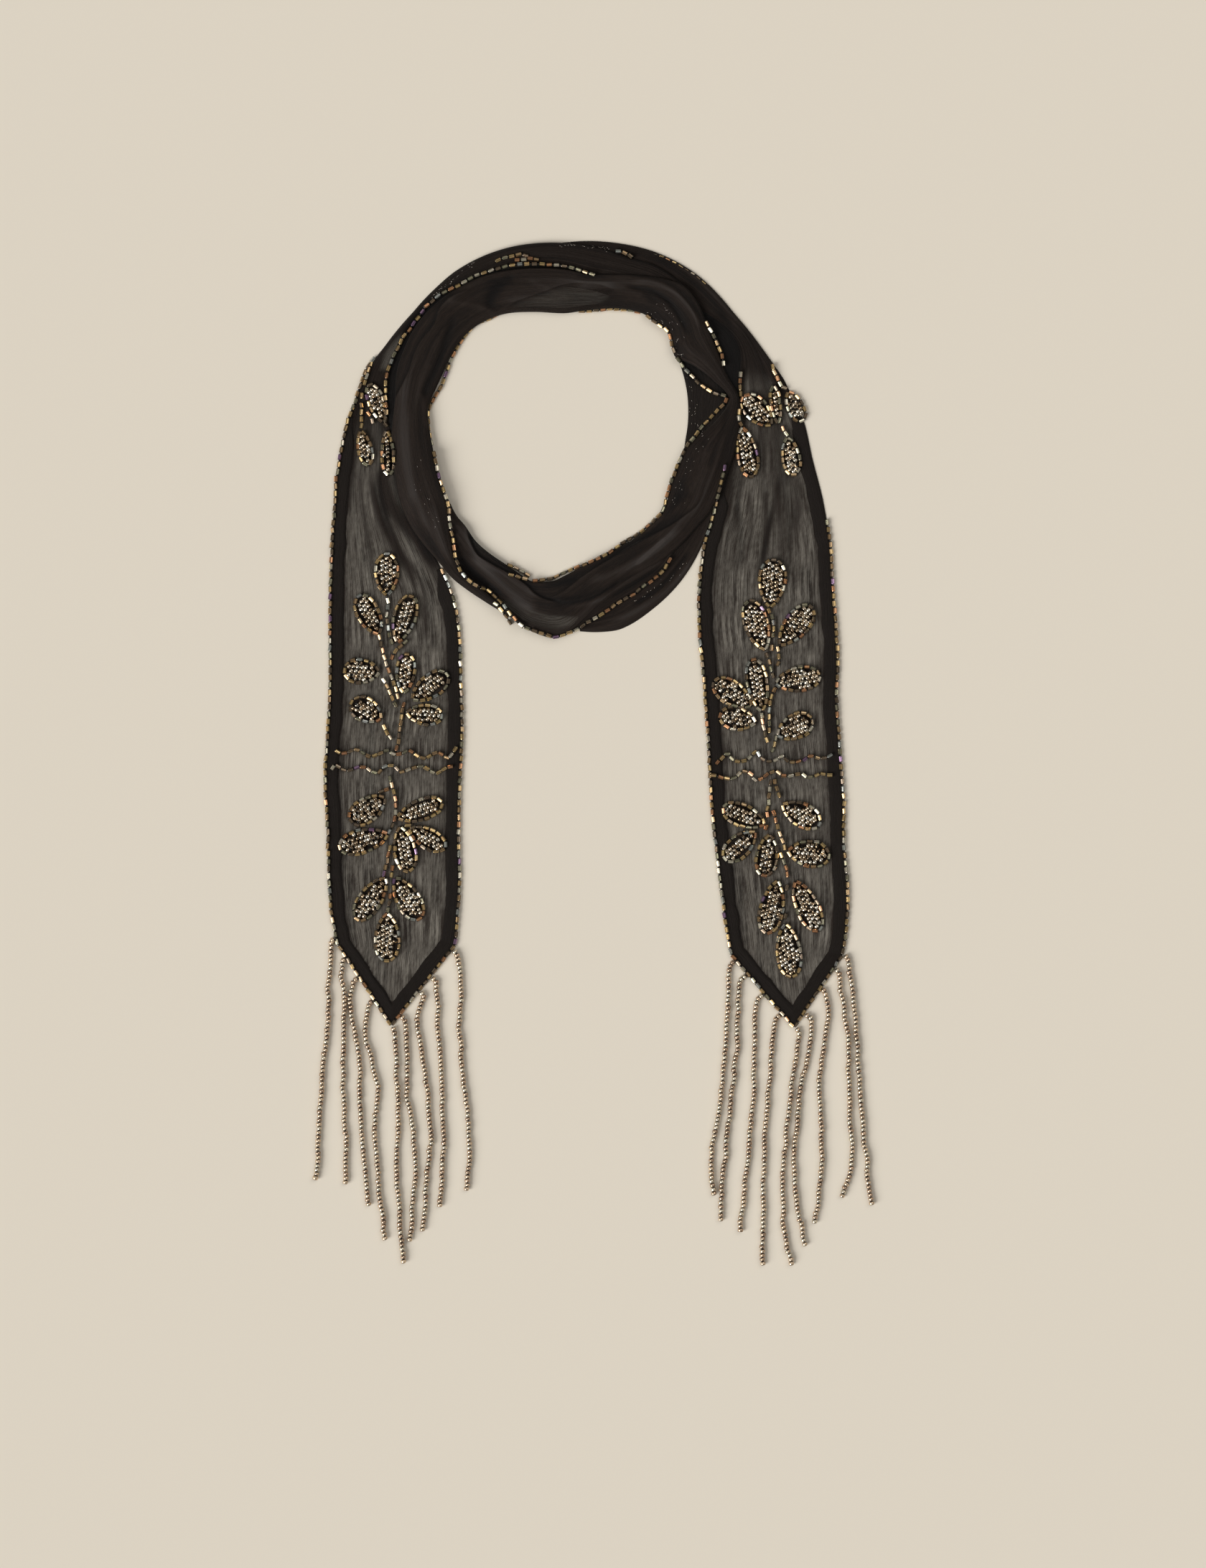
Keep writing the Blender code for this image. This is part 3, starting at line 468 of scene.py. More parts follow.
# ---------------------------------------------------------------- materials
def node_tree(name):
    mat = bpy.data.materials.new(name)
    mat.use_nodes = True
    return mat, mat.node_tree.nodes, mat.node_tree.links, mat.node_tree.nodes["Principled BSDF"]


def chiffon(name, colour, lighter, low=0.40, high=0.94):
    """Crinkled sheer cloth: lengthwise threads bunch into dark lines, and the
    ground shows between them unless the cloth lies double or is gathered."""
    mat, nodes, links, shader = node_tree(name)
    lay = nodes.new("ShaderNodeAttribute")
    lay.attribute_name = "lay"
    dense = nodes.new("ShaderNodeAttribute")
    dense.attribute_name = "folded"

    def streaks(across, along, detail, seed):
        scale = nodes.new("ShaderNodeMapping")
        scale.inputs["Scale"].default_value = (1 / across, 1 / along, 1.0)
        scale.inputs["Location"].default_value = (seed * 3.7, seed * 1.3, seed)
        links.new(lay.outputs["Vector"], scale.inputs["Vector"])
        tex = nodes.new("ShaderNodeTexNoise")
        tex.inputs["Scale"].default_value = 1.0
        tex.inputs["Detail"].default_value = detail
        tex.inputs["Roughness"].default_value = 0.6
        links.new(scale.outputs["Vector"], tex.inputs["Vector"])
        return tex.outputs["Fac"]

    def math_node(kind, a, b=None, clamp=False):
        node = nodes.new("ShaderNodeMath")
        node.operation = kind
        node.use_clamp = clamp
        for i, value in enumerate((a, b)):
            if value is None:
                continue
            if isinstance(value, (int, float)):
                node.inputs[i].default_value = value
            else:
                links.new(value, node.inputs[i])
        return node.outputs[0]

    fine = streaks(0.40, 24.0, 1.0, 1)        # crinkle lines
    short = streaks(0.28, 3.6, 1.0, 4)        # breaks in them
    broad = streaks(3.4, 60.0, 1.0, 2)        # bunches of them
    grain = streaks(0.28, 0.36, 1.0, 3)       # crepe yarn
    lines = math_node("ADD", math_node("MULTIPLY", fine, 3.0), math_node("MULTIPLY", broad, 0.35))
    lines = math_node("ADD", lines, math_node("MULTIPLY", short, 1.3))
    lines = math_node("ADD", lines, math_node("MULTIPLY", grain, 0.6))
    lines = math_node("SUBTRACT", lines, 2.14, clamp=True)        # 0 open, 1 bunched
    sheer = nodes.new("ShaderNodeMapRange")
    sheer.inputs["To Min"].default_value = low
    sheer.inputs["To Max"].default_value = high
    links.new(lines, sheer.inputs["Value"])
    alpha = nodes.new("ShaderNodeMapRange")
    links.new(dense.outputs["Fac"], alpha.inputs["Value"])
    links.new(sheer.outputs["Result"], alpha.inputs["To Min"])
    alpha.inputs["To Max"].default_value = 1.0
    links.new(alpha.outputs["Result"], shader.inputs["Alpha"])

    # The colour turns lighter along the crinkle lines and yarn grain: partly the yarn's own tone, partly a painted
    # highlight on the crinkles.
    tint = nodes.new("ShaderNodeMix")
    tint.data_type = "RGBA"
    tint.inputs["A"].default_value = (*colour, 1.0)
    tint.inputs["B"].default_value = (*lighter, 1.0)
    yarn_tone_and_highlight = math_node("ADD", math_node("MULTIPLY", grain, 0.35), math_node("MULTIPLY", short, 1.1))
    yarn_tone_and_highlight = math_node("ADD", yarn_tone_and_highlight, math_node("MULTIPLY", fine, 1.1))
    links.new(math_node("SUBTRACT", yarn_tone_and_highlight, 0.80, clamp=True), tint.inputs["Factor"])
    # Painted shade and painted highlight: the painted shading scales the colour from 4.4 times darker to 4.4 times
    # lighter, and the lighter side is turned towards a neutral colour so the painted highlights are not brown.
    painted_shading_input = nodes.new("ShaderNodeAttribute")
    painted_shading_input.attribute_name = "painted_shading"
    level = math_node("POWER", 4.4, math_node("SUBTRACT", math_node("MULTIPLY", painted_shading_input.outputs["Fac"], 2.0), 1.0))
    lit = nodes.new("ShaderNodeMix")
    lit.data_type = "RGBA"
    lit.inputs["B"].default_value = (0.0098, 0.0080, 0.0070, 1.0)
    links.new(math_node("MULTIPLY", math_node("SUBTRACT", painted_shading_input.outputs["Fac"], 0.5, clamp=True), 2.6, clamp=True), lit.inputs["Factor"])
    links.new(tint.outputs["Result"], lit.inputs["A"])
    scaled = nodes.new("ShaderNodeVectorMath")
    scaled.operation = "SCALE"
    links.new(lit.outputs["Result"], scaled.inputs[0])
    links.new(level, scaled.inputs["Scale"])
    links.new(scaled.outputs["Vector"], shader.inputs["Base Color"])
    bump = nodes.new("ShaderNodeBump")
    bump.inputs["Strength"].default_value = 0.75
    bump.inputs["Distance"].default_value = 0.00030
    links.new(math_node("ADD", math_node("MULTIPLY", fine, 1.3), math_node("ADD", math_node("MULTIPLY", short, 0.8), math_node("MULTIPLY", grain, 0.6))), bump.inputs["Height"])
    links.new(bump.outputs["Normal"], shader.inputs["Normal"])
    shader.inputs["Roughness"].default_value = 0.72
    shader.inputs["Specular IOR Level"].default_value = 0.15
    shader.inputs["Sheen Weight"].default_value = 0.035
    shader.inputs["Sheen Roughness"].default_value = 0.45
    shader.inputs["Sheen Tint"].default_value = (0.95, 0.88, 0.80, 1.0)
    return mat


def bead_material(name, metallic, roughness, coat, blotch="Color"):
    mat, nodes, links, shader = node_tree(name)
    tint = nodes.new("ShaderNodeAttribute")
    tint.attribute_name = "tint"
    where = nodes.new("ShaderNodeTexCoord")
    blot = nodes.new("ShaderNodeTexNoise")
    blot.inputs["Scale"].default_value = 900.0
    blot.inputs["Detail"].default_value = 2.0
    links.new(where.outputs["Object"], blot.inputs["Vector"])
    mix = nodes.new("ShaderNodeMix")
    mix.data_type = "RGBA"
    mix.blend_type = "MULTIPLY"
    mix.inputs["Factor"].default_value = 0.30
    links.new(tint.outputs["Color"], mix.inputs["A"])
    links.new(blot.outputs[blotch], mix.inputs["B"])
    ramp = nodes.new("ShaderNodeMapRange")
    ramp.inputs["To Min"].default_value = roughness * 0.7
    ramp.inputs["To Max"].default_value = roughness * 1.5
    links.new(blot.outputs["Fac"], ramp.inputs["Value"])
    links.new(mix.outputs["Result"], shader.inputs["Base Color"])
    links.new(ramp.outputs["Result"], shader.inputs["Roughness"])
    shader.inputs["Metallic"].default_value = metallic
    shader.inputs["Coat Weight"].default_value = coat
    shader.inputs["Coat Roughness"].default_value = 0.08
    return mat


SHEER = chiffon("sheer_chiffon", (0.0049, 0.0028, 0.0018), (0.0205, 0.0128, 0.0086), 0.42, 0.97)
SOLID = chiffon("doubled_chiffon", (0.0046, 0.0028, 0.0017), (0.0120, 0.0080, 0.0055))
TUBES = bead_material("cut_tube_beads", 0.80, 0.17, 0.6)
SEEDS = bead_material("pewter_seed_beads", 0.74, 0.22, 0.35, "Fac")
LEAF_BEADS = bead_material("bronze_leaf_beads", 0.92, 0.17, 0.5, "Fac")
mat, nodes, links, shader = node_tree("bead_thread")
shader.inputs["Base Color"].default_value = (0.02, 0.014, 0.009, 1.0)
shader.inputs["Roughness"].default_value = 0.6
THREAD = mat


# ------------------------------------------------------------ strips of cloth
# Painted shade on the tails along charted lines, where folds and overlying layers throw shade: how much darker, its
# reach in millimetres, and the line; a negative amount is a painted highlight.
TAIL_SHADE_COLUMNS = ("painted_darkening", "reach", "places")
TAIL_SHADES = {
    "left": [
        (0.30, 2.4, [(545, 600), (546, 570), (556, 525), (572, 480), (596, 440), (628, 412), (660, 394)]),
        (0.30, 2.6, [(548, 615), (556, 660), (570, 710), (592, 760), (614, 798)]),
        (-0.16, 2.4, [(515, 640), (520, 700), (536, 750), (560, 800)]),
        (-0.18, 3.0, [(502, 620), (500, 680), (506, 740)]),
        (0.16, 1.4, [(498, 610), (494, 670), (498, 740), (510, 800)]),
        (0.14, 2.0, [(500, 640), (530, 700), (540, 760)]),
        (-0.20, 1.6, [(550, 480), (542, 505), (534, 530)]),
    ],
    "right": [
        (0.45, 3.4, [(1006, 452), (1016, 480), (1020, 510), (1024, 540), (1026, 570)]),
        (0.26, 2.4, [(1026, 560), (1020, 600), (1014, 640), (1004, 690), (992, 730)]),
        (0.24, 2.2, [(900, 352), (940, 372), (975, 400), (1005, 436), (1024, 470)]),
        (-0.20, 2.2, [(930, 362), (968, 388), (1004, 424), (1036, 466)]),
        (-0.20, 2.6, [(1046, 660), (1054, 710), (1046, 760), (1034, 820)]),
        (0.18, 1.8, [(1064, 660), (1072, 710), (1064, 770), (1050, 830)]),
        (-0.18, 2.2, [(1082, 680), (1088, 740), (1084, 800)]),
        (0.16, 1.6, [(1026, 690), (1034, 740), (1028, 800)]),
        (-0.14, 3.0, [(1110, 680), (1120, 740), (1122, 800)]),
    ],
}


def tail_strip(name, tail, point, turn, flip, solid_at):
    left, right, flat, z = strip_rails(tail, point, turn, flip)
    cols = 216
    u = np.linspace(0, 1, cols)[None, :]
    xy = left[:, None, :] + (right - left)[:, None, :] * u[..., None]
    width = np.hypot(*(right - left).T)[:, None]
    middle = (left + right) / 2
    along = np.concatenate([[0], np.cumsum(np.hypot(*np.diff(middle, axis=0).T))])[:, None] + 0 * u
    across = 74.0 * (0.5 + (u - 0.5) * flat[:, None])
    turned = ease(0, 12, along - along[len(flat) - 1 - int(abs(turn[0][0] - turn[-1][0]) / 0.9) + 1])
    # gathers: fine lengthwise ridges, closer together where the strip is narrow
    ridge = (0.55 * noise(across / 2.1, along / 42.0, 3) + 0.30 * noise(across / 1.05, along / 24.0, 5)
             + 0.35 * noise(across / 6.5, along / 70.0, 7))
    lift = 0.55 + 0.22 * ridge
    squeeze = np.clip(74.0 / np.maximum(6.0, width) - 1, 0, 5)
    lift = lift + squeeze * 0.10 * noise(across / 7.0, along / 90.0, 11)
    edge = np.minimum(u, 1 - u) * width
    lift = lift * ease(0, 1.5, edge) + 0.25 * (1 - ease(0, 1.5, edge))
    roll = np.sqrt(np.clip(1 - (1 - np.clip(edge / 1.6, 0, 1)) ** 2, 0, 1))
    top = arch(z, u) + turned * (WALL + 0.12) * roll + (1 - turned) * lift + turned * 0.25 * ridge * ease(0, 1.5, edge)
    points = np.dstack([xy, np.maximum(0.02, top)])
    density = solid_at(xy[..., 0], xy[..., 1], along, u)
    # Painted shading: a random tone, then painted shade along the rolled edges, along the inner edge where the strip
    # turns into the ring, and along the lines of TAIL_SHADES.
    shade = 0.5 + 0.14 * noise(across / 5.0, along / 80.0, 13) + 0.08 * noise(across / 1.3, along / 30.0, 14)
    shade = shade - 0.15 * (1 - ease(0, 1.4, edge)) - 0.22 * turned * (1 - ease(0, 3.0, (u * width if flip else (1 - u) * width)))
    for painted_darkening, reach, places in TAIL_SHADES["right" if flip else "left"]:
        shade = shade - painted_darkening * near_line(xy[..., 0], xy[..., 1], places, reach)
    return grid_mesh(name, points, density, across + 0 * along, along, shade=shade), points


def patch(x, y, corners, soft):
    """1 inside a chart outline, fading to 0 over a soft edge in millimetres."""
    pts = np.array([place(a, b) for a, b in corners])
    flat = np.stack([x.ravel(), y.ravel()], 1)
    closed = np.vstack([pts, pts[:1]])
    d, _, _ = beside(flat, closed)
    inside = np.zeros(len(flat), bool)
    for (ax, ay), (bx, by) in zip(closed[:-1], closed[1:]):
        cross = (ay > flat[:, 1]) != (by > flat[:, 1])
        with np.errstate(divide="ignore", invalid="ignore"):
            at = (bx - ax) * (flat[:, 1] - ay) / (by - ay) + ax
        inside ^= cross & (flat[:, 0] < at)
    return ease(-soft, soft, np.where(inside, d, -d)).reshape(x.shape)


def near_line(x, y, chart, reach):
    """1 on a charted line, falling away over a reach in millimetres."""
    d, _, t = beside(np.stack([x.ravel(), y.ravel()], 1), chart_path(chart, 2.0))
    fade = np.clip(np.minimum(t, 1 - t) / 0.15, 0, 1)
    return (fade * np.exp(-(d / reach) ** 2)).reshape(x.shape)


def leaf_half(share, half):
    """Half width of a leaf at a share of its length from the foot."""
    a = np.arccos(1 - 2 * np.clip(share, 0, 1))
    return np.sin(a) * np.sin(a / 2) ** 0.42 / 0.88 * half


def under_leaves(x, y, side):
    """1 on the cloth that a leaf's stitching covers."""
    out = np.zeros_like(x)
    for foot, tip, width in LEAVES[side]:
        foot, tip = np.array(place(*foot)), np.array(place(*tip))
        length = np.linalg.norm(tip - foot) - 1.0
        axis = (tip - foot) / np.linalg.norm(tip - foot)
        s = (x - foot[0]) * axis[0] + (y - foot[1]) * axis[1]
        t = -(x - foot[0]) * axis[1] + (y - foot[1]) * axis[0]
        room = leaf_half(s / length, (width * STEP - TUBE_WIDE) / 2) - np.abs(t)
        out = np.maximum(out, ease(-0.3, 0.4, room) * ((s > -0.5) & (s < length + 0.5)))
    return out


def left_solid(x, y, along, u):
    out = 0.50 * ease(150, 196, y) + 0.7 * ease(197, 211, y)
    out = out + 0.45 * ease(60, 150, y) * np.clip(noise(u * 11, y / 60, 21) + 0.1, 0, 1)
    out = out + 0.95 * near_line(x, y, [(530, 640), (538, 690), (556, 722), (580, 750), (602, 780), (612, 796)], 3.6)
    out = out + 0.60 * near_line(x, y, [(515, 655), (522, 700), (540, 745), (566, 790), (580, 830)], 1.6)
    out = out + 0.50 * near_line(x, y, [(528, 660), (538, 720), (560, 770), (590, 815)], 1.4)
    out = out + 0.45 * near_line(x, y, [(500, 650), (504, 700), (512, 750), (520, 800)], 1.3)
    out = out + 0.40 * (1 - ease(6.5, 12.5, 74 * np.minimum(u, 1 - u)))
    out = out + 0.45 * near_line(x, y, [(492, 560), (484, 610), (487, 660), (485, 720)], 3.2)
    # The first line makes the cloth opaque beside the bead line to paint the shade in the gap there; under_leaves is
    # the dense cloth under the stitching.
    out = out + 1.0 * near_line(x, y, [(545, 535), (543, 560), (545, 590), (550, 615)], 2.8) + under_leaves(x, y, "left")
    out = out + 0.35 * near_line(x, y, [(585, 800), (592, 840), (590, 900)], 2.5)
    out = out + 0.30 * near_line(x, y, [(560, 800), (566, 850), (562, 910)], 2.0)
    open_part = patch(x, y, [(528, 515), (533, 495), (545, 478), (560, 462), (556, 480), (546, 500), (538, 520)], 1.2)
    return np.clip(out, 0, 1) * (1 - 0.9 * open_part)


def right_solid(x, y, along, u):
    out = 0.9 * ease(203, 224, y) + 0.14 * ease(150, 203, y) + 0.40 * (1 - ease(6.5, 12.5, 74 * np.minimum(u, 1 - u)))
    out = out + 0.45 * ease(60, 150, y) * np.clip(noise(u * 10 + 3, y / 60, 22) + 0.1, 0, 1)
    # Opaque cloth along this line stands for a fold and also paints the shade the fold throws.
    out = out + 0.9 * near_line(x, y, [(1052, 466), (1066, 492), (1077, 520), (1092, 546), (1118, 600), (1130, 650)], 2.8)
    out = out + 0.6 * near_line(x, y, [(1026, 480), (1027, 520), (1022, 560), (1014, 620), (1008, 680)], 2.8)
    out = out + under_leaves(x, y, "right")
    out = out + 0.45 * near_line(x, y, [(1058, 670), (1068, 720), (1062, 770), (1048, 830)], 2.2)
    out = out + 0.40 * near_line(x, y, [(1084, 660), (1080, 700), (1068, 750), (1062, 800)], 1.6)
    out = out + 0.35 * near_line(x, y, [(1042, 680), (1046, 730), (1038, 790)], 1.4)
    out = out + 0.35 * near_line(x, y, [(1022, 700), (1030, 745), (1024, 800)], 2.2)
    out = out + 0.35 * near_line(x, y, [(1100, 640), (1112, 690), (1106, 740)], 3.0)
    return np.clip(out, 0, 1)


left_strip, left_points = tail_strip("left_strip", LEFT_TAIL, LEFT_POINT, OUTER_TURN_TOP_LEFT, False, left_solid)
right_strip, right_points = tail_strip("right_strip", RIGHT_TAIL, RIGHT_POINT, OUTER_TURN_TOP_RIGHT, True, right_solid)
for strip in (left_strip, right_strip):
    strip.data.materials.append(SHEER)


# ------------------------------------------------------------ hem borders
def tail_edge(tail, point, top_left, top_right):
    """The free edge of a tail, down its left side, round the V and up."""
    foot = tail[-1]
    out = []
    for side, top in (("x_left", top_left), ("x_right", top_right)):
        ys = np.arange(foot[0], top, 3.0)
        x = column(tail, TAIL_COLUMNS, "y", side, ys)
        tilt = column(tail, TAIL_COLUMNS, "y", "tilt", ys) * (-1 if side == "x_left" else 1)
        out.append(np.stack([x, ys + tilt], 1))
    shift = np.array([SHIFT_X, SHIFT_Y])
    return out[0][::-1] + shift, np.array(point) + shift, out[1] + shift


def even(path, spacing):
    d = np.concatenate([[0], np.cumsum(np.linalg.norm(np.diff(path, axis=0), axis=1))])
    at = np.linspace(0, d[-1], int(d[-1] / spacing) + 1)
    return np.stack([np.interp(at, d, path[:, k]) for k in range(path.shape[1])], 1)


def crossing(a, b):
    """Where two paths cross: the index of the crossing step in each, and the place."""
    for i in range(len(a) - 1, 0, -1):
        p, r = a[i - 1], a[i] - a[i - 1]
        for j in range(len(b) - 1):
            q, w = b[j], b[j + 1] - b[j]
            k = r[0] * w[1] - r[1] * w[0]
            if abs(k) < 1e-12:
                continue
            t = ((q[0] - p[0]) * w[1] - (q[1] - p[1]) * w[0]) / k
            m = ((q[0] - p[0]) * r[1] - (q[1] - p[1]) * r[0]) / k
            if -1e-9 <= t <= 1 + 1e-9 and -1e-9 <= m <= 1 + 1e-9:
                return i, j, p + r * t
    return len(a) - 1, 0, (a[-1] + b[0]) / 2


def resampled(path, count):
    d = np.concatenate([[0], np.cumsum(np.linalg.norm(np.diff(path, axis=0), axis=1))])
    at = np.linspace(0, d[-1], count)
    return np.stack([np.interp(at, d, path[:, k]) for k in range(path.shape[1])], 1)


def hem(name, tail, point, top_left, top_right, fade_left, fade_right):
    """The border turned double: a closed flat band along the free edges."""
    left, tip, right = tail_edge(tail, point, top_left, top_right)
    sides = [even(left, 1.4), even(np.vstack([left[-1], tip]), 1.4), even(np.vstack([tip, right[0]]), 1.4), even(right, 1.4)]
    inners = []
    total = sum(np.linalg.norm(np.diff(one, axis=0), axis=1).sum() for one in sides)
    start = 0.0
    for one in sides:
        run = start + np.concatenate([[0], np.cumsum(np.linalg.norm(np.diff(one, axis=0), axis=1))])
        start = run[-1]
        width = BORDER + 0.55 * noise(run / 9.0, run * 0, 31) + 0.25 * noise(run / 3.0, run * 0, 32)
        width = width * (0.35 + 0.65 * ease(0, fade_left, run)) * (0.35 + 0.65 * ease(0, fade_right, total - run))
        step = np.gradient(one, axis=0)
        step /= np.linalg.norm(step, axis=1)[:, None]
        inners.append(one + np.stack([-step[:, 1], step[:, 0]], 1) * width[:, None])
    for k in range(3):
        i, j, spot = crossing(inners[k], inners[k + 1])
        inners[k] = np.vstack([inners[k][:i], spot])
        inners[k + 1] = np.vstack([spot, inners[k + 1][j + 1:]])
    inner = np.vstack([resampled(one, len(side_of))[(1 if k else 0):] for k, (one, side_of) in enumerate(zip(inners, sides))])
    path = np.vstack([side_of[(1 if k else 0):] for k, side_of in enumerate(sides)])
    n = len(path)
    run = np.concatenate([[0], np.cumsum(np.linalg.norm(np.diff(path, axis=0), axis=1))])
    rows = []
    shares = (0.0, 0.04, 0.14, 0.30, 0.46, 0.62, 0.78, 0.90, 0.97, 1.0)
    pucker = noise(run / 2.6, run * 0, 33) * 0.10 + noise(run / 6.0, run * 0, 34) * 0.10
    for k, s in enumerate(shares):
        xy = path + (inner - path) * s
        dome = math.sin(math.pi * min(1.0, s / 0.16) / 2) if s < 0.5 else math.sin(math.pi * min(1.0, (1 - s) / 0.16) / 2)
        z = 0.30 + 0.72 * dome + pucker * (0.4 + 0.6 * noise(run * 0 + k * 0.7, run / 4.0, 35)) * dome
        rows.append(np.column_stack([xy, z]))
    for s in shares[::-1][1:-1:2]:
        xy = path + (inner - path) * s
        rows.append(np.column_stack([xy, np.full(n, 0.12)]))
    points = np.stack(rows, 1)
    cols = points.shape[1]
    across = np.broadcast_to(np.linspace(0, 16, cols)[None, :], (n, cols))
    along = np.broadcast_to(run[:, None], (n, cols))
    obj = grid_mesh(name, points, np.ones((n, cols)), across, along, closed=True)
    mesh = obj.data
    caps = [list(range(cols))[::-1], [(n - 1) * cols + k for k in range(cols)]]
    bm_faces = caps
    import bmesh
    bm = bmesh.new()
    bm.from_mesh(mesh)
    bm.verts.ensure_lookup_table()
    for cap in bm_faces:
        bm.faces.new([bm.verts[k] for k in cap])
    bmesh.ops.recalc_face_normals(bm, faces=bm.faces)
    bm.to_mesh(mesh)
    bm.free()
    mesh.materials.append(SOLID)
    return obj


left_hem = hem("left_hem", LEFT_TAIL, LEFT_POINT, 190.0, 104.0, 20.0, 14.0)
right_hem = hem("right_hem", RIGHT_TAIL, RIGHT_POINT, 150.0, 200.0, 12.0, 20.0)


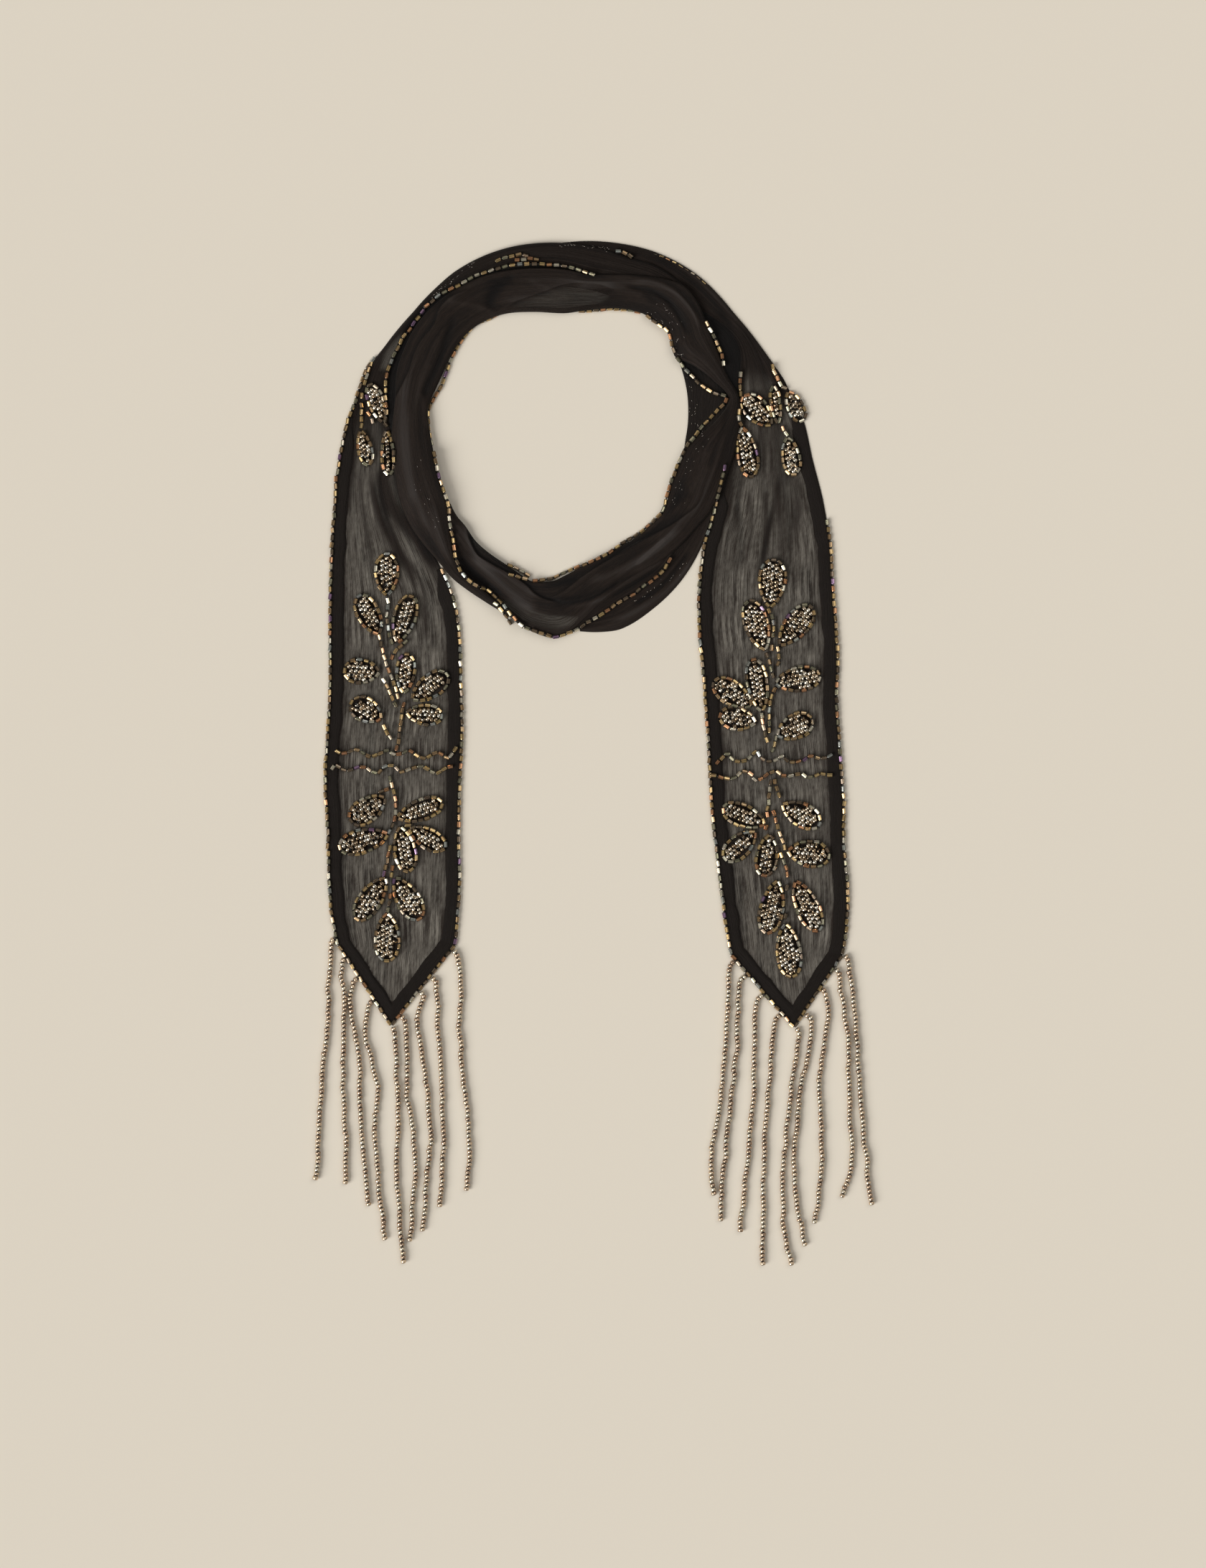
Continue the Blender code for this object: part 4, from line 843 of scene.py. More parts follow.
# ------------------------------------------------------------ ring of cloth
# A crease.  A step stands higher on the left of its direction, and falls back
# over its reach; a ridge and a trough have their reach as half width.  Each also
# paints shading into the cloth colour: painted shade at the foot of a step and
# in a trough, a painted highlight above a step and on a ridge.  A 'dark' line is
# only painted shade and a 'pale' line only a painted highlight, the height being
# their amount.
CREASE_COLUMNS = ("kind", "height", "reach", "first_bearing", "last_bearing", "places")
CREASES = {
    "inner": [
        # left side of the ring, top turn
        ("step", 1.1, 6.0, 270, 340, [(655, 402), (640, 408), (625, 416), (611, 432), (605, 451), (590, 470), (579, 488),
            (569, 518), (558, 540), (550, 556), (547, 577), (548, 600)]),
        ("ridge", 0.40, 1.6, 290, 345, [(622, 420), (650, 424), (672, 429), (694, 437)]),
        ("trough", 0.55, 2.6, 300, 360, [(718, 385), (700, 396), (686, 411), (680, 432)]),
        ("trough", 0.60, 2.0, 270, 330, [(636, 440), (625, 465), (611, 507), (595, 540), (588, 562)]),
        ("ridge", 0.45, 1.8, 260, 300, [(585, 545), (592, 560), (594, 580), (598, 600)]),
        ("ridge", 0.40, 2.4, 215, 290, [(570, 560), (568, 610), (573, 660), (585, 710), (602, 752)]),
        ("trough", 0.45, 2.0, 205, 270, [(575, 690), (590, 735), (615, 775), (650, 808)]),
        ("ridge", 0.40, 2.6, 205, 262, [(604, 700), (612, 740), (626, 780), (650, 805)]),
        ("dark", 0.22, 3.0, 270, 345, [(690, 446), (672, 455), (652, 474), (638, 500), (626, 532), (612, 560), (608, 580)]),
        ("dark", 0.20, 4.5, 315, 350, [(690, 385), (688, 405), (686, 425), (690, 440)]),
        ("dark", 0.16, 2.6, 210, 270, [(604, 600), (603, 650), (612, 690), (620, 720), (624, 760)]),
        ("pale", 0.22, 2.4, 215, 300, [(568, 520), (560, 580), (562, 640), (575, 700), (600, 750)]),
        # over the top
        ("step", 0.45, 3.5, 338, 385, [(698, 436), (710, 427), (724, 420), (759, 408), (788, 398), (828, 397), (852, 405), (870, 416)]),
        ("ridge", 0.35, 1.8, 340, 372, [(735, 388), (755, 398), (775, 408), (800, 418)]),
        ("trough", 0.40, 2.0, 360, 400, [(800, 385), (850, 392), (890, 404), (925, 428)]),
        ("pale", 0.24, 3.0, 350, 395, [(800, 400), (840, 396), (880, 402), (905, 412)]),
        # down the right
        ("dark", 0.16, 3.0, 372, 440, [(830, 424), (880, 428), (912, 442), (932, 462), (944, 488), (960, 508)]),
        ("dark", 0.25, 1.2, 378, 425, [(872, 386), (905, 388), (934, 398), (956, 416), (972, 438), (980, 456)]),
        ("ridge", 0.70, 1.5, 378, 425, [(880, 391), (911, 394), (936, 405), (954, 422), (968, 440), (978, 462)]),
        ("trough", 0.70, 1.5, 378, 428, [(870, 400), (905, 405), (930, 420), (947, 442), (960, 468)]),
        ("ridge", 0.35, 2.2, 395, 432, [(925, 455), (950, 478), (970, 505), (990, 535)]),
        ("trough", 0.40, 1.8, 437, 470, [(1017, 560), (1010, 590), (998, 625), (985, 655)]),
        ("ridge", 0.45, 2.2, 440, 490, [(1008, 600), (1000, 640), (982, 685), (955, 720)]),
        ("trough", 0.35, 2.2, 448, 485, [(985, 600), (978, 640), (960, 680), (940, 705)]),
        # along the bottom
        ("step", 1.0, 5.0, 462, 545, [(985, 672), (972, 702), (948, 722), (928, 735), (903, 748), (875, 763), (847, 780),
            (824, 794), (804, 808), (788, 821), (774, 829), (764, 832)]),
        ("step", 1.2, 4.0, 512, 547, [(770, 835), (788, 839), (810, 837), (833, 829), (847, 820), (862, 812)]),
        ("ridge", 0.45, 1.6, 470, 530, [(935, 752), (905, 772), (872, 792), (835, 808), (800, 822)]),
        ("trough", 0.35, 1.6, 475, 525, [(925, 748), (895, 766), (860, 786), (825, 802)]),
        ("dark", 0.22, 3.2, 465, 545, [(958, 650), (944, 690), (930, 722), (900, 745), (866, 768), (824, 790), (790, 808), (760, 818)]),
        ("pale", 0.30, 2.6, 475, 530, [(950, 735), (920, 757), (890, 778), (850, 798), (815, 814)]),
        ("pale", 0.45, 1.0, 480, 520, [(925, 750), (905, 770), (885, 788)]),
        ("pale", 0.24, 3.0, 440, 475, [(985, 620), (972, 660), (955, 690), (935, 712)]),
        ("dark", 0.34, 1.5, 490, 547, [(768, 834), (796, 835), (826, 828), (858, 813), (892, 797)]),
        ("dark", 0.30, 1.4, 500, 547, [(742, 812), (760, 815), (786, 812), (808, 805)]),
        ("pale", 0.26, 1.2, 500, 547, [(790, 846), (815, 842), (840, 834), (866, 820)]),
        ("pale", 0.20, 1.5, 455, 540, [(960, 690), (945, 708), (915, 730), (875, 755), (830, 781), (790, 806)]),
        # the lower left, beneath
        ("pale", 0.26, 1.3, 545, 612, [(644, 716), (655, 760), (675, 784), (705, 802), (735, 822), (762, 836), (792, 846)]),
        ("pale", 0.42, 4.0, 545, 600, [(690, 833), (715, 842), (745, 850), (780, 857), (805, 858)]),
        ("dark", 0.35, 1.7, 548, 610, [(634, 768), (640, 780), (653, 794), (670, 808), (684, 819), (701, 830)]),
        ("pale", 0.26, 3.0, 545, 610, [(655, 775), (680, 798), (715, 822), (760, 846)]),
        ("dark", 0.30, 1.6, 555, 610, [(652, 738), (660, 755), (680, 768), (700, 786)]),
        ("step", 1.1, 7.0, 538, 624, [(812, 851), (807, 855), (802, 850), (788, 840), (771, 837), (757, 833), (745, 826), (734, 815),
            (720, 805), (705, 796), (690, 788), (678, 781), (667, 774), (660, 763), (654, 748), (650, 732), (640, 705)]),
        ("ridge", 0.40, 2.0, 548, 600, [(650, 770), (680, 796), (710, 822), (745, 840)]),
        ("trough", 0.40, 1.6, 548, 600, [(640, 775), (668, 805), (695, 826), (715, 836)]),
    ],
    "outer_bottom": [
        ("trough", 0.7, 1.4, 110, 175, [(963, 766), (948, 785), (935, 802), (915, 822), (880, 845)]),
        ("ridge", 0.5, 1.6, 110, 175, [(968, 775), (950, 800), (925, 826), (890, 850), (850, 866)]),
    ],
    "beaded_strip": [
        ("trough", 0.4, 1.2, 490, 540, [(935, 785), (905, 800), (875, 818), (850, 832)]),
        ("ridge", 0.4, 1.2, 490, 540, [(930, 778), (905, 792), (880, 806), (850, 826)]),
    ],
}


def turn_sheet(name, rows, creases, cols=64, step=0.8, roll_in=1.4, roll_out=1.4, return_in=3.0, return_out=3.0, seed=1, ends=4.0):
    """A stretch of the ring: arched, pleated and creased, its edges rolled
    down and turned a little way under."""
    bearings = np.linspace(rows[0][0], rows[-1][0], int(abs(rows[-1][0] - rows[0][0]) / step) + 1)
    r_in, r_out = (column(rows, TURN_COLUMNS, "bearing", n, bearings)[:, None] for n in ("r_in", "r_out"))
    z = np.stack([column(rows, TURN_COLUMNS, "bearing", n, bearings) for n in ("z_in", "z_mid", "z_out")], 1)
    u = np.linspace(0, 1, cols)[None, :]
    width = r_out - r_in
    radius = r_in + width * u
    x, y = polar(bearings[:, None], radius)
    run = np.radians(bearings - bearings[0])[:, None] * 86.0
    across = u * 24.0 + 0 * run
    under = arch(z, u)
    fine = (0.10 * noise(across / 1.6, run / 40.0, seed) + 0.22 * noise(across / 4.5, run / 55.0, seed + 1)
            + 0.10 * noise(across / 8.0, run / 14.0, seed + 2))
    top = under + WALL + fine
    # Painted shading of the ring: a random tone round 0.5, to which the chart's lines add painted shade and painted
    # highlights.
    shade = (0.5 + 0.14 * noise(across / 4.5, run / 55.0, seed + 1) + 0.13 * noise(across / 1.3, run / 30.0, seed + 5)
             + 0.10 * noise(across / 9.0, run / 25.0, seed + 6))
    flat = np.stack([x.ravel(), y.ravel()], 1)
    for kind, height, reach, first, last, chart in creases:
        path = chart_path(chart, 1.5)
        d, side, t = beside(flat, path)
        ends_fade = np.clip(np.minimum(t, 1 - t) / 0.12, 0, 1).reshape(x.shape)
        window = np.clip(np.minimum(bearings - first, last - bearings) / 5.0, 0, 1)
        ends_fade = ends_fade * (window * window * (3 - 2 * window))[:, None]
        d, side = d.reshape(x.shape), side.reshape(x.shape)
        if kind == "step":
            s = d * side
            top = top + ends_fade * height * ease(-0.35, 0.35, s) * np.exp(-np.clip(s, 0, None) / reach)
            foot = np.where(s < 0.15, np.exp(-np.clip(0.15 - s, 0, None) / 1.3), np.exp(-(s - 0.15) / 0.25))
            shade = shade - ends_fade * 0.46 * min(1.1, height) * foot + ends_fade * 0.20 * np.where(s > 0.4, np.exp(-(s - 0.4) / 2.5), 0)
        elif kind == "ridge":
            top = top + ends_fade * height * np.exp(-(d / reach) ** 2)
            shade = shade + ends_fade * 0.35 * height * np.exp(-(d / reach) ** 2)
        elif kind == "trough":
            top = top - ends_fade * height * np.exp(-(d / reach) ** 2)
            shade = shade - ends_fade * 0.55 * height * np.exp(-(d / reach) ** 2)
        elif kind == "dark":
            shade = shade - ends_fade * height * np.exp(-(d / reach) ** 2)
        elif kind == "pale":
            shade = shade + ends_fade * height * np.exp(-(d / reach) ** 2)
    from_in, from_out = u * width, (1 - u) * width
    a = np.clip(from_in / roll_in, 0, 1)
    b = np.clip(from_out / roll_out, 0, 1)
    round_in, round_out = np.sqrt(1 - (1 - a) ** 2), np.sqrt(1 - (1 - b) ** 2)
    top = under + (top - under) * round_in * round_out
    # painted shade along both rolled edges
    shade = shade - 0.16 * (1 - ease(0, 0.8, from_in)) - 0.16 * (1 - ease(0, 0.8, from_out))
    # the returns, tucked under both edges
    backs = []
    for share in (1.0, 0.45):
        r = r_in + np.minimum(return_in * share, width * 0.4)
        bx, by = polar(bearings[:, None], r)
        backs.append(np.dstack([bx, by, np.interp(0, [0], [0]) + z[:, 0:1] + 0.05 + 0 * bx]))
    fronts = []
    for share in (0.45, 1.0):
        r = r_out - np.minimum(return_out * share, width * 0.4)
        bx, by = polar(bearings[:, None], r)
        fronts.append(np.dstack([bx, by, z[:, 2:3] + 0.05 + 0 * bx]))
    points = np.concatenate([*backs, np.dstack([x, y, top]), *fronts], 1)
    points[..., 2] = np.maximum(points[..., 2], 0.02)
    n = points.shape[1]
    lay_across = np.concatenate([np.full((len(bearings), 1), -3.0), np.full((len(bearings), 1), -1.3), across,
                                 np.full((len(bearings), 1), 25.3), np.full((len(bearings), 1), 27.0)], 1)
    # painted shade on the returns tucked under the edges
    side_shade = np.full((len(bearings), 2), 0.2)
    shade = np.concatenate([side_shade, shade, side_shade], 1)
    return points, lay_across, np.broadcast_to(run, (len(bearings), n)), shade


inner_rows = INNER_TURN_LEFT[:-1] + [(325.0, 76.4, 100.0, 2.1, 3.6, 2.1)] + INNER_TURN_RIGHT[1:-1] + UNDER_TURN_BOTTOM_LEFT
points, across, along, shade = turn_sheet("inner", inner_rows, CREASES["inner"], cols=76, step=0.66, seed=41)
density = np.ones(points.shape[:2])
top_patch = patch(points[..., 0], points[..., 1], [(700, 436), (722, 421), (759, 409), (788, 400), (828, 399), (852, 406), (846, 418), (830, 430), (800, 434), (760, 436)], 2.0)
first_lap = (along < np.radians(260) * 86) & (along > np.radians(100) * 86)
density = density * (1 - 0.50 * top_patch * first_lap)
low_patch = patch(points[..., 0], points[..., 1], [(697, 833), (712, 838), (735, 848), (765, 858), (806, 860), (800, 873), (778, 877), (752, 872), (728, 864), (712, 850)], 1.2)
second_lap = along > np.radians(325) * 86
density = density * (1 - 0.75 * low_patch * second_lap)
window = patch(points[..., 0], points[..., 1], [(656, 738), (672, 748), (690, 768), (706, 790), (690, 785), (668, 774), (660, 762)], 0.8)
density = density * (1 - 0.6 * window * second_lap)
inner_strip = grid_mesh("inner_strip", points, density, across, along, shade=shade)
inner_strip.data.materials.append(SHEER)

points, across, along, shade = turn_sheet("beaded_strip", BEADED_STRIP, CREASES["beaded_strip"], cols=32, step=0.9, seed=51, return_in=1.0)
points[..., 2] += 0.9
beaded_strip = grid_mesh("bottom_beaded_strip", points, np.ones(points.shape[:2]), across, along, shade=shade)
beaded_strip.data.materials.append(SHEER)

points, across, along, shade = turn_sheet("outer_bottom", OUTER_TURN_BOTTOM_RIGHT, CREASES["outer_bottom"], cols=56, step=0.9, seed=61)
outer_bottom = grid_mesh("outer_bottom_turn", points, np.ones(points.shape[:2]), across, along, shade=shade)
outer_bottom.data.materials.append(SHEER)


def core_mesh():
    count = 360
    bearings = np.arange(count) * 360.0 / count
    r_in = column(RING_CORE, CORE_COLUMNS, "bearing", "r_in", bearings)
    r_out = column(RING_CORE, CORE_COLUMNS, "bearing", "r_out", bearings)
    rows = []
    sides = 36
    for k in range(sides):
        a = 2 * math.pi * k / sides
        share = 0.5 - 0.5 * math.cos(a)
        r = r_in + (r_out - r_in) * share
        if a <= math.pi:
            z = 1.75 * np.sin(a) ** 0.35 + 0.12 * noise(share * 9 + 0 * bearings, bearings / 18.0, 71)
        else:
            z = np.full(count, 0.02)
        x, y = polar(bearings, r)
        rows.append(np.column_stack([x, y, np.maximum(0.02, z)]))
    points = np.stack(rows, 1)
    points = np.concatenate([points, points[:1]], 0)
    at = np.append(bearings, 360.0)[:, None]
    far = np.hypot(points[..., 0] - RING_X - SHIFT_X, points[..., 1] - RING_Y - SHIFT_Y)
    # Painted shade: the hidden layers are painted very dark where they lie in the hollows between the laps, and
    # lighter at bearings 60 to 112 within about 95 mm, where they show by the V.
    shade = 0.10 + 0.40 * ease(60, 72, at) * (1 - ease(104, 112, at)) * (1 - ease(92, 97, far))
    across = np.broadcast_to(np.linspace(0, 30, sides)[None, :], points.shape[:2])
    along = np.broadcast_to((np.arange(count + 1) * 1.5)[:, None], points.shape[:2])
    obj = grid_mesh("hidden_layers", points, np.ones(points.shape[:2]), across, along, closed=True, shade=shade)
    import bmesh
    bm = bmesh.new()
    bm.from_mesh(obj.data)
    bmesh.ops.remove_doubles(bm, verts=bm.verts, dist=1e-6)
    bmesh.ops.recalc_face_normals(bm, faces=bm.faces)
    bm.to_mesh(obj.data)
    bm.free()
    obj.data.materials.append(SOLID)
    return obj


hidden_layers = core_mesh()

# ------------------------------------------------------------ what lies where
cloth = [left_strip, right_strip, left_hem, right_hem, inner_strip, beaded_strip, outer_bottom, hidden_layers]
trees = []
for obj in cloth:
    mesh = obj.data
    co = np.empty(len(mesh.vertices) * 3, np.float32)
    mesh.vertices.foreach_get("co", co)
    trees.append(BVHTree.FromPolygons([tuple(v) for v in (co.reshape(-1, 3) / MM).tolist()],
                                      [tuple(p.vertices) for p in mesh.polygons]))


def surface(x, y, reach=0.0):
    """Height of the topmost cloth at a place, looked for round about it too."""
    best = 0.0
    spots = [(0, 0)] if not reach else [(0, 0), (reach, 0), (-reach, 0), (0, reach), (0, -reach)]
    for dx, dy in spots:
        for tree in trees:
            hit = tree.ray_cast(Vector((x + dx, y + dy, 50.0)), Vector((0, 0, -1)))
            if hit[0] is not None:
                best = max(best, hit[0].z)
    return best


# --------------------------------------------------------------------- beads
def turned(profile, sides, facet_light):
    """A closed shape turned about X from (x, radius, painted brightness) rows, with a
    painted brightness for each facet round it."""
    verts, faces, painted_light = [], [], []
    n = len(profile)
    for k in range(sides):
        a = 2 * math.pi * k / sides
        for x, r, value in profile:
            verts.append((x, r * math.cos(a), r * math.sin(a)))
            painted_light.append(value * facet_light[k % len(facet_light)])
    for k in range(sides):
        for i in range(n):
            j, m = (i + 1) % n, (k + 1) % sides
            faces.append((k * n + i, k * n + j, m * n + j, m * n + i))
    return np.array(verts), np.array(faces), np.array(painted_light)


# Each profile point has a painted brightness: painted shade on the ends and in the holes, a painted highlight round
# the middle.
TUBE_PROFILE = [(-1.65, 0.45, 0.03), (-1.65, 0.86, 0.10), (-1.50, 1.0, 0.35), (-1.15, 1.0, 1.1), (1.15, 1.0, 1.1), (1.50, 1.0, 0.35),
                (1.65, 0.86, 0.10), (1.65, 0.45, 0.03)]
SEED_PROFILE = [(-0.96, 0.45, 0.01), (-1.04, 0.80, 0.04), (-0.88, 1.18, 0.42), (-0.46, 1.40, 1.15), (0.46, 1.40, 1.15),
                (0.88, 1.18, 0.42), (1.04, 0.80, 0.04), (0.96, 0.45, 0.01)]
LINK_PROFILE = [(-1.0, 0.05, 1.0), (-1.0, 0.5, 1.0), (1.0, 0.5, 1.0), (1.0, 0.05, 1.0)]
# Each facet round a bead has its own painted brightness: painted highlight streaks along the tubes and seeds,
# strongest on the leaf seeds.
TUBE = turned(TUBE_PROFILE, 8, (1.55, 0.55, 1.10, 0.70, 1.60, 0.50, 1.20, 0.65))
SEED = turned(SEED_PROFILE, 9, (1.20, 0.62, 1.05, 0.66, 1.24, 0.64, 1.02, 0.70, 1.10))
LEAF_SEED = turned(SEED_PROFILE, 9, (1.45, 0.42, 1.05, 0.55, 1.55, 0.38, 0.95, 0.60, 1.20))
LINK = turned(LINK_PROFILE, 6, (1.0,))

TUBE_TINTS = [
    (0.25, (0.62, 0.43, 0.19)), (0.20, (0.42, 0.28, 0.14)), (0.12, (0.56, 0.28, 0.13)), (0.12, (0.34, 0.31, 0.20)),
    (0.14, (0.22, 0.16, 0.10)), (0.09, (0.82, 0.74, 0.56)), (0.055, (0.44, 0.45, 0.40)), (0.025, (0.30, 0.18, 0.29)),
]
SEED_TINTS = [(0.5, (0.92, 0.70, 0.48)), (0.3, (0.60, 0.42, 0.28)), (0.2, (1.0, 0.86, 0.64))]
LEAF_TINTS = [(0.45, (0.74, 0.60, 0.43)), (0.25, (0.32, 0.23, 0.14)), (0.30, (1.0, 0.90, 0.73))]
STITCH_TINTS = [(0.6, (0.26, 0.23, 0.20)), (0.4, (0.42, 0.36, 0.31))]
LINK_TINTS = [(1.0, (0.020, 0.013, 0.008))]


def tint_of(table):
    pick = rng.random()
    for share, colour in table:
        pick -= share
        if pick <= 0:
            break
    k = 1 + 0.16 * (rng.random() * 2 - 1)
    return tuple(c * k for c in colour)


def beads(name, shape, spots, tints, material, slot="seed_beads"):
    """One mesh of many beads.  A spot is x, y, z, direction, and a stretch."""
    verts, faces, painted_light = shape
    n = len(spots)
    pos = np.array([s[0] for s in spots])
    way = np.array([s[1] for s in spots], float)
    way /= np.linalg.norm(way, axis=1)[:, None]
    size = np.array([s[2] for s in spots], float)
    up = np.tile([0.0, 0.0, 1.0], (n, 1))
    side = np.cross(up, way)
    side /= np.linalg.norm(side, axis=1)[:, None]
    up = np.cross(way, side)
    roll = rng.random(n) * 2 * math.pi
    c, s = np.cos(roll)[:, None], np.sin(roll)[:, None]
    side, up = side * c + up * s, up * c - side * s
    frame_of = np.stack([way * size[:, 0:1], side * size[:, 1:2], up * size[:, 1:2]], 1)     # n,3,3
    all_verts = np.einsum("vk,nkd->nvd", verts, frame_of) + pos[:, None, :]
    all_faces = (faces[None] + (np.arange(n) * len(verts))[:, None, None]).reshape(-1, 4)
    mesh = bpy.data.meshes.new(name)
    mesh.vertices.add(n * len(verts))
    mesh.vertices.foreach_set("co", (all_verts * MM).astype(np.float32).ravel())
    mesh.loops.add(len(all_faces) * 4)
    mesh.loops.foreach_set("vertex_index", all_faces.astype(np.int32).ravel())
    mesh.polygons.add(len(all_faces))
    mesh.polygons.foreach_set("loop_start", np.arange(0, len(all_faces) * 4, 4, dtype=np.int32))
    mesh.update(calc_edges=True)
    mesh.shade_smooth()
    if shape is TUBE:
        mesh.set_sharp_from_angle(angle=math.radians(40))
    colours = np.array([(*tint_of(tints), 1.0) for _ in range(n)], np.float32)
    layer = mesh.attributes.new("tint", "FLOAT_COLOR", "POINT")
    shown = np.repeat(colours, len(verts), 0)
    # the painted light scales each bead's tint, then each colour is scaled down so no channel passes 1
    shown[:, :3] *= np.tile(painted_light, n)[:, None]
    shown[:, :3] /= np.maximum(1.0, shown[:, :3].max(axis=1))[:, None]
    layer.data.foreach_set("color", shown.astype(np.float32).ravel())
    mesh.materials.append(material)
    obj = bpy.data.objects.new(name, mesh)
    bpy.context.scene.collection.objects.link(obj)
    return obj


taken = []          # middles of the beads placed so far
link_spots = []     # short threads between neighbouring tubes


def free(x, y, gap):
    return all((x - a) ** 2 + (y - b) ** 2 >= gap * gap for a, b in taken)


def join(spots, pitch):
    """Threads across the gaps between tubes that follow each other."""
    for (p, way, size), (q, other, _) in zip(spots[:-1], spots[1:]):
        p, q = np.array(p), np.array(q)
        d = np.linalg.norm(q - p)
        if d < 1.5 * pitch:
            link_spots.append((tuple((p + q) / 2), tuple((q - p) / d), (max(0.3, (d - 3.4) / 2 + 0.35), 0.85)))


def tubes_along(path, pitch, sink=0.0, gap=0.0, loose=0.05, reach=0.0, least=0.0, size=(1.0, 1.0), fixed=None):
    """Tubes threaded along a path in millimetres, as spots."""
    d = np.concatenate([[0], np.cumsum(np.linalg.norm(np.diff(path, axis=0), axis=1))])
    count = max(1, int(round(d[-1] / pitch)))
    at = (np.arange(count) + 0.5) * d[-1] / count
    spots = []
    for s in at:
        s = s + rng.normal(0, 0.10)
        a = np.array([np.interp(s - 1.3, d, path[:, k]) for k in (0, 1)])
        b = np.array([np.interp(s + 1.3, d, path[:, k]) for k in (0, 1)])
        mid = np.array([np.interp(s, d, path[:, k]) for k in (0, 1)])
        mid = (mid + (a + b) / 2) / 2
        way = b - a
        if np.linalg.norm(way) < 1e-6:
            continue
        way = way / np.linalg.norm(way)
        turn_by = rng.normal(0, loose)
        way = np.array([way[0] * math.cos(turn_by) - way[1] * math.sin(turn_by), way[0] * math.sin(turn_by) + way[1] * math.cos(turn_by)])
        mid = mid + np.array([-way[1], way[0]]) * rng.normal(0, 0.10)
        if gap and not free(mid[0], mid[1], gap):
            continue
        z1 = surface(*(mid - way * 1.2), reach)
        z2 = surface(*(mid + way * 1.2), reach)
        rise = max(-0.9, min(0.9, (z2 - z1) / 2.4 * 0.7))
        z = max(least, (z1 + z2) / 2 + 0.92 + sink)
        if fixed is not None:
            z, rise = fixed, 0.0
        z = max(z, 1.12 * size[1])
        slope = max(0.0, (z - 1.10 * size[1]) / 1.9)
        rise = max(-slope, min(slope, rise))
        spots.append(((mid[0], mid[1], z), (way[0], way[1], rise), (size[0] * (1 + rng.normal(0, 0.05)), size[1] * (1 + rng.normal(0, 0.04)))))
        taken.append((mid[0], mid[1]))
    join(spots, pitch)
    return spots


def leaf_outline(foot, tip, width):
    """A teardrop: narrow at its foot, round at its tip."""
    foot, tip = np.array(place(*foot)), np.array(place(*tip))
    axis = tip - foot
    length = np.linalg.norm(axis)
    axis = axis / length
    side = np.array([-axis[1], axis[0]])
    a = np.linspace(0, 2 * math.pi, 160, endpoint=True)
    x = (1 - np.cos(a)) / 2
    length = length - 1.0
    half = (width * STEP - TUBE_WIDE) / 2
    y = leaf_half(x, half) * np.sign(np.sin(a))
    return foot + axis * (x * length)[:, None] + side * y[:, None], foot, axis, side, length, half


def inside(poly, x, y):
    odd = False
    for (ax, ay), (bx, by) in zip(poly[:-1], poly[1:]):
        if (ay > y) != (by > y) and x < (bx - ax) * (y - ay) / (by - ay) + ax:
            odd = not odd
    return odd


def far_from(poly, x, y):
    return float(np.min(np.hypot(poly[:, 0] - x, poly[:, 1] - y)))


tube_spots = {"left": [], "right": [], "ring": [], "left_edge": [], "right_edge": []}
seed_spots = {"left": [], "right": [], "ring": []}
done_leaves = []


def leaf(side, foot, tip, width):
    poly, base, axis, across, length, half = leaf_outline(foot, tip, width)
    d = np.concatenate([[0], np.cumsum(np.linalg.norm(np.diff(poly, axis=0), axis=1))])
    for spot in tubes_along(poly, LINE_PITCH, gap=0.0, loose=0.06):
        x, y = spot[0][:2]
        hidden = any(inside(other, x, y) and far_from(other, x, y) > 0.3 for other in done_leaves)
        near = any(far_from(other, x, y) < 1.0 for other in done_leaves)
        if not hidden and not near:
            tube_spots[side].append(spot)
    row_gap, pitch = (2.26, 2.40) if half > 5.2 else (2.0, 2.25)
    rows = int(half / row_gap) + 1
    for i in range(-rows, rows + 1):
        shift = pitch / 2 * (i % 2)
        for j in range(int(length / pitch) + 2):
            s = j * pitch + shift + 1.0
            t = i * row_gap
            p = base + axis * (s + rng.normal(0, 0.15)) + across * (t + rng.normal(0, 0.15))
            if not inside(poly, *p) or far_from(poly, *p) < (1.55 if half > 5.2 else 1.35):
                continue
            if any(inside(other, *p) or far_from(other, *p) < 1.6 for other in done_leaves):
                continue
            turn_by = rng.normal(0, 0.35) + (math.pi / 2 if rng.random() < 0.25 else 0.0)
            way = axis * math.cos(turn_by) + across * math.sin(turn_by)
            z = max(1.65, surface(*p) + 1.22 + rng.normal(0, 0.1))
            lean = rng.uniform(0.5, 1.2) if rng.random() < 0.22 else rng.normal(0, 0.15)
            seed_spots[side].append(((p[0], p[1], z), (way[0], way[1], lean), (1.04 + rng.normal(0, 0.04), 1.0 + rng.normal(0, 0.03))))
            taken.append((p[0], p[1]))
    done_leaves.append(poly)


for side in ("left", "right"):
    for foot, tip, width in LEAVES[side]:
        leaf(side, foot, tip, width)
    for points_of in WAVES[side] + STEMS[side]:
        tube_spots[side] += tubes_along(chart_path(points_of), LINE_PITCH, gap=2.3, loose=0.08)

for name_of, sink, chart in RING_EDGES:
    low = {"under": 1.15, "small": 0.75}.get(sink)
    tube_spots["ring"] += tubes_along(chart_path(chart), EDGE_PITCH, sink=0.0 if low else sink, loose=0.07, reach=1.0,
                                      fixed=low, size=(0.8, 0.55) if sink == "small" else (1.0, 1.0))


